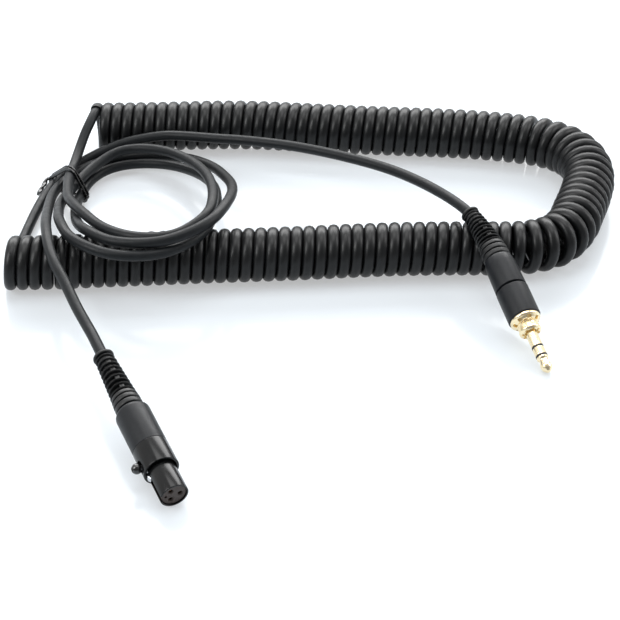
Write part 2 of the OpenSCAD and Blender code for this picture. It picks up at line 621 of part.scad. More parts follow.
contact_at = [180, 60, 300];
collar_t = 0.6;                 // collar of a contact, behind the insert
pilot_r = 2.3;                  // place of the small fourth hole
module xlr_insert() {
    color([0.17, 0.13, 0.11]) xlr_place() difference() {
        union() {
            translate([0, 0, insert_at]) cylinder(r = insert_r, h = face_at - insert_at);
            translate([0, 0, stop_at]) cylinder(r = sleeve_in - fit, h = insert_flange_t);
        }
        for (a = contact_at) rotate([0, 0, a]) translate([contact_r, 0, 0]) {
            translate([0, 0, insert_at - 1])
                cylinder(r = contact_d / 2 + fit / 2, h = face_at - insert_at + 0.4);
            translate([0, 0, insert_at]) cylinder(d = face_hole_d, h = xlr_l);
        }
        translate([pilot_r, 0, face_at - 1.2]) cylinder(d = 0.8, h = 3);
        translate([roll_h, 0, roll_at]) rotate([90, 0, 0])
            cylinder(r = roll_r + seat_gap, h = key_w, center = true);
        translate([roll_h + 0.05, -key_w / 2, roll_at - roll_r - seat_gap])
            cube([3, key_w, 2 * roll_r + 1]);
        translate([channel_in, -key_w / 2, roll_at + roll_r + 0.6])
            cube([4, key_w, channel_end - roll_at - roll_r - 0.6]);
    }
}

cup_l = 2.6;
module xlr_contact(a) {
    color([0.85, 0.7, 0.4]) xlr_place() rotate([0, 0, a]) translate([contact_r, 0, 0]) difference() {
        union() {
            translate([0, 0, insert_at - cup_l])
                cylinder(d = contact_d, h = face_at - 0.6 - insert_at + cup_l);
            translate([0, 0, insert_at - collar_t]) cylinder(d = contact_d + 0.4, h = collar_t);
        }
        translate([0, 0, insert_at - cup_l - eps]) cylinder(r = conductor_d / 2 + 0.08, h = 2);
        translate([0, 0, face_at - 7.6]) cylinder(d = 1, h = 10);
    }
}
module xlr_contact_1() { xlr_contact(contact_at[0]); }
module xlr_contact_2() { xlr_contact(contact_at[1]); }
module xlr_contact_3() { xlr_contact(contact_at[2]); }

xclamp_at = xboot_l + xplug_l;
xclamp_l = 3.2;
xjacket_end = xclamp_at + xclamp_l - 0.5;
module xlr_cable_clamp() {
    color([0.7, 0.7, 0.7]) xlr_place() {
        ring(xrear_in_r - fit, wire_r + press, xclamp_at, xclamp_at + 0.8);
        ring(wire_r + clamp_wall, wire_r + press, xclamp_at, xclamp_at + xclamp_l);
    }
}

module xlr_conductors() {
    cup = insert_at - cup_l;
    color([0.7, 0.2, 0.15]) xlr_place() for (a = contact_at)
        conductor([0.85, 0, xjacket_end], [contact_r, 0, cup - 0.4], 1.9, a);
}

module latch_lever() {
    color([0.75, 0.76, 0.78]) xlr_place() rotate([90, 0, 0])
        union() {
            translate([roll_h, roll_at, 0]) cylinder(r = roll_r, h = strip_w, center = true);
            linear_extrude(height = strip_w, center = true) polygon([[strip_in, roll_at - 0.1],
                [strip_in, hook_at + hook_l], [strip_out, hook_at + hook_l],
                [hook_out, hook_at + hook_l - 0.5], [hook_out, hook_at], [strip_out, hook_at],
                [strip_out, roll_at + 0.1]]);
        }
}

stem_d = 1.3;
module latch_button() {
    color([0.05, 0.05, 0.05]) xlr_place() {
        translate([button_r, 0, button_at]) sphere(d = button_d);
        translate([strip_out, 0, button_at]) rotate([0, 90, 0])
            cylinder(d = stem_d, h = button_r - strip_out);
    }
}

// ---------------------------------------------------------------- leads
lead_sides = 8;
// From the front end of the curls over the surface, through the tie and up to the jack
jack_way = [[-93.26, 15.23, 1.81], [-92.69, 24.52, 1.73], [-91.65, 34.4, 1.7], [-90.67, 42.36, 1.82],
    [-89.39, 50.3, 2.01], [-88.08, 56.34, 2.2], [-86.07, 62.96, 2.49], [-84.11, 67.13, 2.79],
    [-80.64, 71.86, 3.45], [-77.18, 74.91, 4.26], [-73.56, 77.12, 5.29], [-69.55, 78.81, 6.53],
    [-65.39, 79.93, 7.77], [-61, 80.6, 8.9], [-51.3, 80.6, 10.7], [-44.9, 79.2, 11.5],
    [-32, 75, 12.8], [-22, 71.5, 14], [-7, 65.3, 15.5], [8, 56.8, 17], [22.7, 46.5, 18.4],
    [33.3, 36, 19.5], [42, 24.6, 20.4]];
// From the back end of the curls down to the tie
coil_way = [[-75.48, 84.95, 13.57], [-77.13, 80.83, 11.22], [-78.6, 74.6, 8.47]];
// From the tie over the front curls to the XLR
xlr_way = [[-83.62, 59.75, 3.83], [-84.66, 55.17, 4.5], [-85.06, 48.45, 5.83], [-83.79, 31.18, 11.26],
    [-81.9, 15, 17], [-80, 4, 19], [-78.8, -1.7, 18.9], [-76.2, -9.3, 18.2],
    [-73.2, -15.3, 17.1], [-70.6, -21.3, 16], [-67.7, -28, 15], [-65.3, -33, 14.4],
    [-62.3, -39.5, 13.9]];

function laid_point(p, at, heading, dip) = let(v = [sin(dip + 90) * p.z + cos(dip + 90) * p.x, p.y,
    cos(dip + 90) * p.z - sin(dip + 90) * p.x])
    at + [v.x * cos(heading) - v.y * sin(heading), v.x * sin(heading) + v.y * cos(heading), v.z];
function jack_point(p) = laid_point(p, jack_at, jack_heading, jack_dip);

module jack_lead() {
    in_boot = [for (u = [jboot_l : -jboot_l / 3 : jboot_l / 6]) jack_point(boot_point(u))];
    p = concat([curl_start], spline(jack_way, 2), in_boot, [jack_at, jack_point([0, 0, jacket_end])]);
    color([0.25, 0.26, 0.27]) translate(shift) tube(p, wire_r, lead_sides, -start_dir, jack_axis);
}

module coil_lead() {
    p = concat([curl_end], spline(coil_way, 2), [loop_path[0]]);
    color([0.25, 0.26, 0.27]) translate(shift) tube(p, wire_r, lead_sides, end_dir, loop_in_dir);
}

module xlr_lead() {
    p = concat([loop_path[loop_n - 1]], spline(xlr_way, 2), [xlr_at, xlr_at + xlr_axis * xjacket_end]);
    color([0.25, 0.26, 0.27]) translate(shift) tube(p, wire_r, lead_sides, loop_out_dir, xlr_axis);
}

// ---------------------------------------------------------------- tie
tie_clear = 0.2;
tie_at = [-82.1, 61.2];
tie_heading = 50;
tie_dir = [cos(tie_heading), sin(tie_heading)];
tie_side = [tie_dir.y, -tie_dir.x];
// Where the five strands pass the tie, sideways and up, and how far each goes sideways and
// up for one ahead
tie_strands = [[-4.56, 2.56, -0.31, 0.06], [-0.95, 3.62, -0.3, -0.08], [2.82, 8.25, -0.83, -0.27],
    [5.52, 5.66, -0.36, 0.03], [7.59, 2.6, -0.6, -0.07]];
// Line at the distance r round the strands, for a wrap that starts at z
module tie_outline(r, z) {
    hull() for (s = tie_strands, a = [z, z + tie_w]) translate([s[0] + s[2] * a, s[1] + s[3] * a])
        scale([sqrt(1 + s[2] * s[2]), 1]) circle(r = r, $fn = 24);
}
module tie_band() {
    color([0.04, 0.04, 0.04]) translate(shift + [tie_at.x, tie_at.y, 0])
        multmatrix([[tie_side.x, 0, tie_dir.x, 0], [tie_side.y, 0, tie_dir.y, 0], [0, 1, 0, 0]])
            for (z = [-tie_w - tie_gap / 2, tie_gap / 2]) translate([0, 0, z])
                linear_extrude(height = tie_w) difference() {
                    tie_outline(wire_r + tie_clear + tie_t, z);
                    tie_outline(wire_r + tie_clear, z);
                }
}
// The twisted tail, from the wraps' left side along the outer strand
tail_way = [[-88.11, 66.25, 2.5], [-89, 65.5, 2.3], [-89.35, 63.4, 2.1], [-89.95, 60.6, 1.9],
    [-90.7, 57.6, 1.8]];
tail_turns = 1.5;
tail_size = [1.5, 0.8];
module tie_twist() {
    p = spline(tail_way, 4);
    n = len(p);
    pts = [for (i = [0 : n - 1])
        let(t = i == 0 ? unit([-tie_side.x, -tie_side.y, 0]) : unit(p[min(n - 1, i + 1)] - p[i - 1]),
            s = unit(cross([0, 0, 1], t)), u = cross(t, s), w = 360 * tail_turns * i / (n - 1))
        for (c = [[1, 1], [-1, 1], [-1, -1], [1, -1]])
            let(x = c.x * tail_size.x / 2, y = c.y * tail_size.y / 2)
            p[i] + (x * cos(w) - y * sin(w)) * s + (x * sin(w) + y * cos(w)) * u];
    color([0.04, 0.04, 0.04]) translate(shift) polyhedron(pts, tube_faces(n, 4), convexity = 10);
}

jack_boot();
jack_rear_housing();
jack_front_housing();
jack_collar();
jack_sleeve_contact();
jack_ring_contact();
jack_tip_contact();
jack_sleeve_insulator();
jack_tip_insulator();
jack_core_insulator();
jack_solder_lugs();
jack_cable_clamp();
jack_conductors();
jack_lead();
curly_cord();
coil_lead();
tied_loops();
xlr_lead();
xlr_boot();
xlr_rear_housing();
xlr_front_sleeve();
xlr_nose_shell();
xlr_insert();
xlr_contact_1();
xlr_contact_2();
xlr_contact_3();
xlr_cable_clamp();
xlr_conductors();
latch_lever();
latch_button();
tie_band();
tie_twist();
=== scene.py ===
"""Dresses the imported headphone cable: curly cord, leads, both plugs, latch and tie.

Shapes are drawn in millimetres in the frames of the sub-assemblies and laid down in metres.
"""

import json
import logging
import math
from dataclasses import dataclass, field
from enum import Enum
from typing import Iterable, Sequence

import bmesh
import bpy
import numpy as np
from mathutils import Matrix, Vector

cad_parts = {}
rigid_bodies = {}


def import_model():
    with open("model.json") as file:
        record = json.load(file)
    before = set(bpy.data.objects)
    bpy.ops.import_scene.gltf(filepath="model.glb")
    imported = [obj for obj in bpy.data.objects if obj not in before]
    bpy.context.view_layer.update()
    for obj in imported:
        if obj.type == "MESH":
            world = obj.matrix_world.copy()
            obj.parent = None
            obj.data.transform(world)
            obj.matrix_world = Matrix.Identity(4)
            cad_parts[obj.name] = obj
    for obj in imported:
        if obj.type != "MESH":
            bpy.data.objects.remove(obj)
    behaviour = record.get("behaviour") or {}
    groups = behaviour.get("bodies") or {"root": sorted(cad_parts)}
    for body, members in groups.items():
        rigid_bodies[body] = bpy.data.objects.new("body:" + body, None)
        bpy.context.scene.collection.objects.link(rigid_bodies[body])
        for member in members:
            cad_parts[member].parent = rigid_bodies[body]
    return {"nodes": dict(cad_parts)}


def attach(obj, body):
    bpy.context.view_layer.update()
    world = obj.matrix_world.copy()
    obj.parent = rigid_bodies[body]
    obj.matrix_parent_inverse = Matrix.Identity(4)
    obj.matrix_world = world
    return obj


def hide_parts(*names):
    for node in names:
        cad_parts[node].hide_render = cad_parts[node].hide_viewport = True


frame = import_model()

LOG = logging.getLogger("cable")
MM = 0.001
SHIFT = Vector((-1.944, -1.091, 0.0))
WIRE_R = 1.65
# The curled wire is pressed against its neighbours: fuller, and rounded by this share of it
CURL_WIRE_R = 1.865
PRESSED = 0.88
# Clearance of pieces that seat in each other, and how many sides shells and pins have
FIT = 0.05
SHELL_SIDES, PIN_SIDES = 96, 64
# Which way the plugs point from above, and how far they dip, in degrees
JACK_HEADING, JACK_DIP = -72.0, 19.0
XLR_HEADING, XLR_DIP = -65.0, 10.0
Point = Sequence[float]
Profile = list[tuple[float, ...]]


class Body(Enum):
    """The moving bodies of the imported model."""

    CABLE = "cable"
    LATCH = "latch"


class Grain(Enum):
    """How a finish's fine pattern lies on the piece, as its scale along X, Y and Z."""

    EVEN = (1.0, 1.0, 1.0)
    TURNED = (0.06, 0.06, 1.0)
    DRAWN = (1.0, 1.0, 0.05)


# ------------------------------------------------------------------ node helpers
def linear(hex_colour: str) -> tuple[float, float, float, float]:
    """Turns an sRGB hex colour into linear light.

    Args:
        hex_colour: Six hex digits after a hash.

    Returns:
        Red, green, blue and an alpha of one.
    """
    parts = [int(hex_colour[i : i + 2], 16) / 255 for i in (1, 3, 5)]
    r, g, b = (c / 12.92 if c <= 0.04045 else ((c + 0.055) / 1.055) ** 2.4 for c in parts)
    return r, g, b, 1.0


def add(
    tree: bpy.types.NodeTree, kind: str, settings: dict | None = None, links: dict | None = None
) -> bpy.types.Node:
    """Adds one node with its settings and links.

    Args:
        tree: The tree that gets the node.
        kind: The node's type name.
        settings: Properties by lower-case name, and socket values by socket name or number.
        links: The outputs that feed the node's sockets, by socket name or number.

    Returns:
        The new node.
    """
    node = tree.nodes.new(kind)
    for key, value in (settings or {}).items():
        if isinstance(key, str) and key[0].islower():
            setattr(node, key, value)
        else:
            node.inputs[key].default_value = value
    for key, socket in (links or {}).items():
        tree.links.new(socket, node.inputs[key])
    return node


def feed(node: bpy.types.Node, values: dict[str, object]) -> None:
    """Sets a node's sockets to values, by name."""
    for key, value in values.items():
        node.inputs[key].default_value = value


def new_material(name: str) -> tuple[bpy.types.Material, bpy.types.NodeTree, bpy.types.Node]:
    """Makes a material with nodes.

    Args:
        name: Its name.

    Returns:
        The material, its tree and its shader.
    """
    made = bpy.data.materials.new(name)
    made.use_nodes = True
    return made, made.node_tree, made.node_tree.nodes["Principled BSDF"]


# ------------------------------------------------------------------ finishes
@dataclass(frozen=True)
class Finish:
    """One finish of the cable, as a procedural material."""

    name: str
    colour: str
    shade: str
    slot: str
    roughness: float
    metallic: float = 0.0
    specular: float = 0.5
    grain: Grain = Grain.EVEN
    grain_mm: float = 0.4
    relief_mm: float = 0.01
    mottle_mm: float = 3.0
    rough_spread: float = 0.08
    coat: float = 0.0
    axis_turn: tuple[float, float, float] = (0.0, 0.0, 0.0)

    def material(self) -> bpy.types.Material:
        """Builds the material once and returns it after that."""
        made = bpy.data.materials.get(self.name)
        if made:
            return made
        made, tree, shader = new_material(self.name)
        where, unit_mm = self.coordinates(tree)
        mottle = add(
            tree, "ShaderNodeTexNoise",
            {"Scale": 1 / (self.mottle_mm * unit_mm), "Detail": 3.0, "Roughness": 0.6},
            {"Vector": where})
        tint = add(
            tree, "ShaderNodeMix",
            {"data_type": "RGBA", 6: linear(self.colour), 7: linear(self.shade)},
            {0: mottle.outputs["Fac"]})
        rough = add(
            tree, "ShaderNodeMapRange",
            {"From Min": 0.3, "From Max": 0.7, "To Min": self.roughness - self.rough_spread,
             "To Max": self.roughness + self.rough_spread},
            {"Value": mottle.outputs["Fac"]})
        laid = add(tree, "ShaderNodeMapping", {"Scale": self.grain.value}, {"Vector": where})
        grain = add(
            tree, "ShaderNodeTexNoise", {"Scale": 1 / (self.grain_mm * unit_mm), "Detail": 2.0},
            {"Vector": laid.outputs["Vector"]})
        bump = add(
            tree, "ShaderNodeBump", {"Strength": 1.0, "Distance": self.relief_mm * MM},
            {"Height": grain.outputs["Fac"]})
        feed(shader, {
            "Metallic": self.metallic, "Specular IOR Level": self.specular,
            "Coat Weight": self.coat, "Coat Roughness": 0.08})
        tree.links.new(tint.outputs[2], shader.inputs["Base Color"])
        tree.links.new(rough.outputs[0], shader.inputs["Roughness"])
        tree.links.new(bump.outputs[0], shader.inputs["Normal"])
        return made

    def coordinates(self, tree: bpy.types.NodeTree) -> tuple[bpy.types.NodeSocket, float]:
        """Gives the pattern's coordinates.

        Args:
            tree: The material's tree.

        Returns:
            The socket with the coordinates, and how many of their units make a millimetre.
        """
        coords = add(tree, "ShaderNodeTexCoord")
        turned = add(
            tree, "ShaderNodeMapping", {"vector_type": "TEXTURE", "Rotation": self.axis_turn},
            {"Vector": coords.outputs["Object"]})
        return turned.outputs["Vector"], MM


@dataclass(frozen=True)
class JacketFinish(Finish):
    """An extruded jacket, whose pattern follows the wire through its bends."""

    def coordinates(self, tree: bpy.types.NodeTree) -> tuple[bpy.types.NodeSocket, float]:
        """Reads the straightened wire's coordinates, which the sweep stored in millimetres."""
        straight = add(
            tree, "ShaderNodeAttribute",
            {"attribute_type": "GEOMETRY", "attribute_name": "straight"})
        return straight.outputs["Vector"], 1.0


def axis_turn(heading: float, dip: float) -> tuple[float, float, float]:
    """Rotation that lays a pattern's Z along a plug's axis, from its heading and dip in degrees."""
    turn = Matrix.Rotation(math.radians(heading), 3, "Z") @ Matrix.Rotation(
        math.radians(90 + dip), 3, "Y"
    )
    return tuple(turn.to_euler())


JACK_TURN = axis_turn(JACK_HEADING, JACK_DIP)
XLR_TURN = axis_turn(XLR_HEADING, XLR_DIP)

# The leads' own jacket, extruded then wound and heat-set into curls: its colour is painted near
# black, darker than the leads', as painted shade of the curls on each other; the soft sheen on top
# comes from the lamps
CURL_JACKET_PAINTED_SHADE = JacketFinish(
    "curl_jacket_painted_shade", "#0e0f10", "#141516", "curly_jacket", 0.36, specular=0.3,
    grain=Grain.DRAWN, grain_mm=0.35, relief_mm=0.01, mottle_mm=2.2, rough_spread=0.05,
)
# Plasticised PVC jacket, extruded: dark grey and matt, with faint lines along it
LEAD_JACKET = JacketFinish(
    "pvc_lead_jacket", "#191b1c", "#202224", "lead_jacket", 0.42, specular=0.17,
    grain=Grain.DRAWN, grain_mm=0.3, relief_mm=0.012, mottle_mm=2.6,
)
# Injection-moulded soft PVC: matt black, grey only where light grazes the ribs
BOOT_RUBBER = Finish(
    "moulded_pvc_boot", "#101111", "#171819", "boot_rubber", 0.42, specular=0.4,
    grain_mm=0.25, relief_mm=0.008, mottle_mm=1.6,
)
# Powder coat over a turned shell: fine texture, drawn coarser than real so that it shows
HOUSING_COAT = Finish(
    "powder_coated_housing", "#121417", "#1b1d20", "housing_black", 0.4, specular=0.25,
    grain_mm=0.42, relief_mm=0.02, mottle_mm=1.3, rough_spread=0.06,
)
# Satin black lacquer on brass tube: smooth, with clear soft highlights
SLEEVE_LACQUER = Finish(
    "satin_lacquered_sleeve", "#090a0a", "#0e0f10", "sleeve_black", 0.2, specular=0.33,
    grain_mm=0.6, relief_mm=0.003, mottle_mm=4.0, rough_spread=0.03,
)
# Gold plate on turned brass: polished, with the lathe's fine rings round the axis
GOLD_JACK = Finish(
    "gold_plated_jack", "#fff0cc", "#f7e4ba", "gold", 0.2, metallic=1.0,
    grain=Grain.TURNED, grain_mm=0.16, relief_mm=0.002, mottle_mm=0.8,
    rough_spread=0.05, axis_turn=JACK_TURN,
)
# The same plate on the XLR's turned contacts
GOLD_XLR = Finish(
    "gold_plated_xlr", "#e9cf93", "#dbb76f", "gold", 0.22, metallic=1.0,
    grain=Grain.TURNED, grain_mm=0.2, relief_mm=0.002, mottle_mm=0.8, axis_turn=XLR_TURN,
)
# Moulded nylon bands and core of the jack
JACK_NYLON = Finish(
    "moulded_nylon_black", "#121212", "#1b1b1b", "insulator_black", 0.45, specular=0.4,
    grain_mm=0.3, relief_mm=0.004, mottle_mm=1.0,
)
# Glass-filled resin insert: brown-black and speckled
INSERT_RESIN = Finish(
    "moulded_resin_insert", "#3a302c", "#4b403a", "insert_brown", 0.5, specular=0.4,
    grain_mm=0.3, relief_mm=0.012, mottle_mm=0.5,
)
# Polished ABS ball
BUTTON_ABS = Finish(
    "polished_abs_button", "#0b0b0c", "#101011", "button_black", 0.16,
    grain_mm=0.5, relief_mm=0.001, mottle_mm=1.0, coat=0.5, rough_spread=0.03,
)
# Bright spring steel strip, rolled lengthwise
LEVER_STEEL = Finish(
    "rolled_spring_steel", "#d8dadd", "#c3c6ca", "latch_steel", 0.24, metallic=1.0,
    grain=Grain.DRAWN, grain_mm=0.1, relief_mm=0.002, mottle_mm=0.6, axis_turn=XLR_TURN,
)
# Tin-plated brass lugs and clamps
TIN_PLATE = Finish(
    "tinned_brass", "#bdbab0", "#a9a69b", "tinned", 0.36, metallic=1.0,
    grain_mm=0.3, relief_mm=0.004, mottle_mm=0.8,
)
# Coloured PVC insulation of the conductors
CORE_PVC = Finish(
    "conductor_pvc", "#a2291d", "#8c2017", "conductor_insulation", 0.42,
    grain_mm=0.3, relief_mm=0.004, mottle_mm=1.2,
)
# Twist tie: wire in a glossy black polyethylene film, slightly wrinkled
TIE_FILM = Finish(
    "polyethylene_tie_film", "#0e0e0f", "#191a1b", "tie_black", 0.24,
    grain_mm=0.7, relief_mm=0.03, mottle_mm=0.9, coat=0.3,
)


# ------------------------------------------------------------------ mesh helpers
def new_object(name: str, mesh: bpy.types.Mesh) -> bpy.types.Object:
    """Makes an object of a mesh and links it to the scene."""
    made = bpy.data.objects.new(name, mesh)
    bpy.context.scene.collection.objects.link(made)
    return made


def mesh_object(
    name: str, points: Iterable[Point], faces: Sequence = (), edges: Sequence = ()
) -> bpy.types.Object:
    """Makes an object from points, faces and edges.

    Args:
        name: The object's name.
        points: Its corners in millimetres.
        faces: Its faces as corner numbers.
        edges: Its loose edges as corner numbers.

    Returns:
        The linked object.
    """
    mesh = bpy.data.meshes.new(name)
    mesh.from_pydata([tuple(map(float, p)) for p in points], list(edges), list(faces))
    mesh.validate()
    return new_object(name, mesh)


def line_object(
    name: str, points: Sequence[Point], closed: bool = False
) -> bpy.types.Object:
    """Makes an object of edges from each point to the next.

    Args:
        name: The object's name.
        points: The points in millimetres.
        closed: Whether the last point is joined to the first.

    Returns:
        The linked object.
    """
    n = len(points)
    edges = [(i, (i + 1) % n) for i in range(n if closed else n - 1)]
    return mesh_object(name, points, edges=edges)


def filleted(profile: Profile, steps: int = 4) -> list[tuple[float, float]]:
    """Rounds the corners of a closed profile.

    Args:
        profile: Corners as radius, height and, where the corner is rounded, the fillet.
        steps: Points to each rounded corner.

    Returns:
        The rounded profile as radius and height.
    """
    out: list[tuple[float, float]] = []
    for i, corner in enumerate(profile):
        p = Vector(corner[:2])
        size = corner[2] if len(corner) > 2 else 0.0
        before = Vector(profile[i - 1][:2]) - p
        after = Vector(profile[(i + 1) % len(profile)][:2]) - p
        size = min(size, before.length * 0.49, after.length * 0.49)
        if size < 1e-4:
            out.append((p.x, p.y))
            continue
        a, b = p + before.normalized() * size, p + after.normalized() * size
        for k in range(steps + 1):
            t = k / steps
            q = a * (1 - t) ** 2 + p * (2 * t * (1 - t)) + b * t * t
            out.append((max(q.x, 0.0), q.y))
    return out


def lathe(name: str, profile: Profile, sides: int = 72, step: float = 0.0) -> bpy.types.Object:
    """Turns a closed profile round the Z axis.

    Args:
        name: The object's name.
        profile: Corners as radius, height and fillet, in order round the section.
        sides: Sides of the turned piece.
        step: Longest stretch of the profile between two rings, or 0 for any.

    Returns:
        The turned object, in millimetres.
    """
    line = filleted(profile)
    if step:
        fine: list[tuple[float, float]] = []
        for i, (r, z) in enumerate(line):
            r1, z1 = line[(i + 1) % len(line)]
            n = max(1, math.ceil(math.hypot(r1 - r, z1 - z) / step))
            fine += [(r + (r1 - r) * k / n, z + (z1 - z) * k / n) for k in range(n)]
        line = fine
    bm = bmesh.new()
    rings = []
    for r, z in line:
        if r < 1e-6:
            rings.append([bm.verts.new((0, 0, z))] * sides)
            continue
        turns = (2 * math.pi * k / sides for k in range(sides))
        rings.append([bm.verts.new((r * math.cos(w), r * math.sin(w), z)) for w in turns])
    for i, ring in enumerate(rings):
        following = rings[(i + 1) % len(rings)]
        for k in range(sides):
            m = (k + 1) % sides
            corners = list(dict.fromkeys((ring[k], ring[m], following[m], following[k])))
            if len(corners) > 2:
                bm.faces.new(corners)
    bmesh.ops.remove_doubles(bm, verts=bm.verts, dist=1e-5)
    bmesh.ops.recalc_face_normals(bm, faces=bm.faces)
    mesh = bpy.data.meshes.new(name)
    bm.to_mesh(mesh)
    bm.free()
    return new_object(name, mesh)


def rod(
    name: str, radius: float, start: float, stop: float, sides: int = 72
) -> bpy.types.Object:
    """Makes a plain rod along the Z axis, in millimetres."""
    return lathe(name, [(0, start), (radius, start), (radius, stop), (0, stop)], sides)


def baked(obj: bpy.types.Object) -> bpy.types.Object:
    """Turns an object's modifiers into its plain mesh and removes them."""
    bpy.context.view_layer.update()
    deps = bpy.context.evaluated_depsgraph_get()
    mesh = bpy.data.meshes.new_from_object(
        obj.evaluated_get(deps), preserve_all_data_layers=True, depsgraph=deps)
    obj.modifiers.clear()
    obj.data = mesh
    return obj


def cut(obj: bpy.types.Object, *tools: bpy.types.Object) -> bpy.types.Object:
    """Takes the tools' shapes out of an object and deletes the tools."""
    for tool in tools:
        modifier = obj.modifiers.new("cut", "BOOLEAN")
        modifier.operation = "DIFFERENCE"
        modifier.solver = "EXACT"
        modifier.object = tool
        baked(obj)
        bpy.data.objects.remove(tool)
    return obj


def joined(obj: bpy.types.Object, *others: bpy.types.Object) -> bpy.types.Object:
    """Puts the others' meshes into one object and deletes them."""
    bm = bmesh.new()
    for part in (obj, *others):
        bm.from_mesh(part.data)
    bm.to_mesh(obj.data)
    bm.free()
    for part in others:
        bpy.data.objects.remove(part)
    return obj


def block(
    name: str, size: Point, middle: Point, turn: float = 0.0, bevel: float = 0.0
) -> bpy.types.Object:
    """Makes a block.

    Args:
        name: The object's name.
        size: Its three sides.
        middle: Its middle.
        turn: Its turn round the Z axis in degrees, about the axis itself.
        bevel: Width of its rounded edges.

    Returns:
        The block, in millimetres.
    """
    bm = bmesh.new()
    place = Matrix.Rotation(math.radians(turn), 4, "Z") @ Matrix.Translation(Vector(middle))
    bmesh.ops.create_cube(bm, size=1.0, matrix=place @ Matrix.Diagonal((*size, 1.0)))
    if bevel:
        bmesh.ops.bevel(
            bm, geom=bm.edges, offset=bevel, segments=2, profile=0.5, affect="EDGES")
    mesh = bpy.data.meshes.new(name)
    bm.to_mesh(mesh)
    bm.free()
    return new_object(name, mesh)


def placed(obj: bpy.types.Object, place: Matrix, crease: float = 34.0) -> bpy.types.Object:
    """Lays a piece down in metres, with its object at the origin, and smooths it.

    Args:
        obj: The piece, drawn in millimetres in its own frame.
        place: Its frame, in millimetres.
        crease: Edges sharper than this many degrees stay sharp.

    Returns:
        The same piece.
    """
    obj.data.transform(Matrix.Scale(MM, 4) @ place)
    obj.data.shade_smooth()
    obj.data.set_sharp_from_angle(angle=math.radians(crease))
    return obj


def dress(
    obj: bpy.types.Object, finish: Finish, *nodes: str, body: Body = Body.CABLE
) -> bpy.types.Object:
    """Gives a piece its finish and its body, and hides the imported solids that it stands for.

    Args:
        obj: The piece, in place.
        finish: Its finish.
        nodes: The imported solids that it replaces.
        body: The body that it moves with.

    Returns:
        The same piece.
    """
    obj.data.materials.clear()
    obj.data.materials.append(finish.material())
    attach(obj, body.value)
    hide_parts(*nodes)
    LOG.info("%s: %d faces, stands for %s", obj.name, len(obj.data.polygons), ", ".join(nodes))
    return obj


# ------------------------------------------------------------------ geometry node trees
Socket = bpy.types.NodeSocket
VECTOR = "FLOAT_VECTOR"


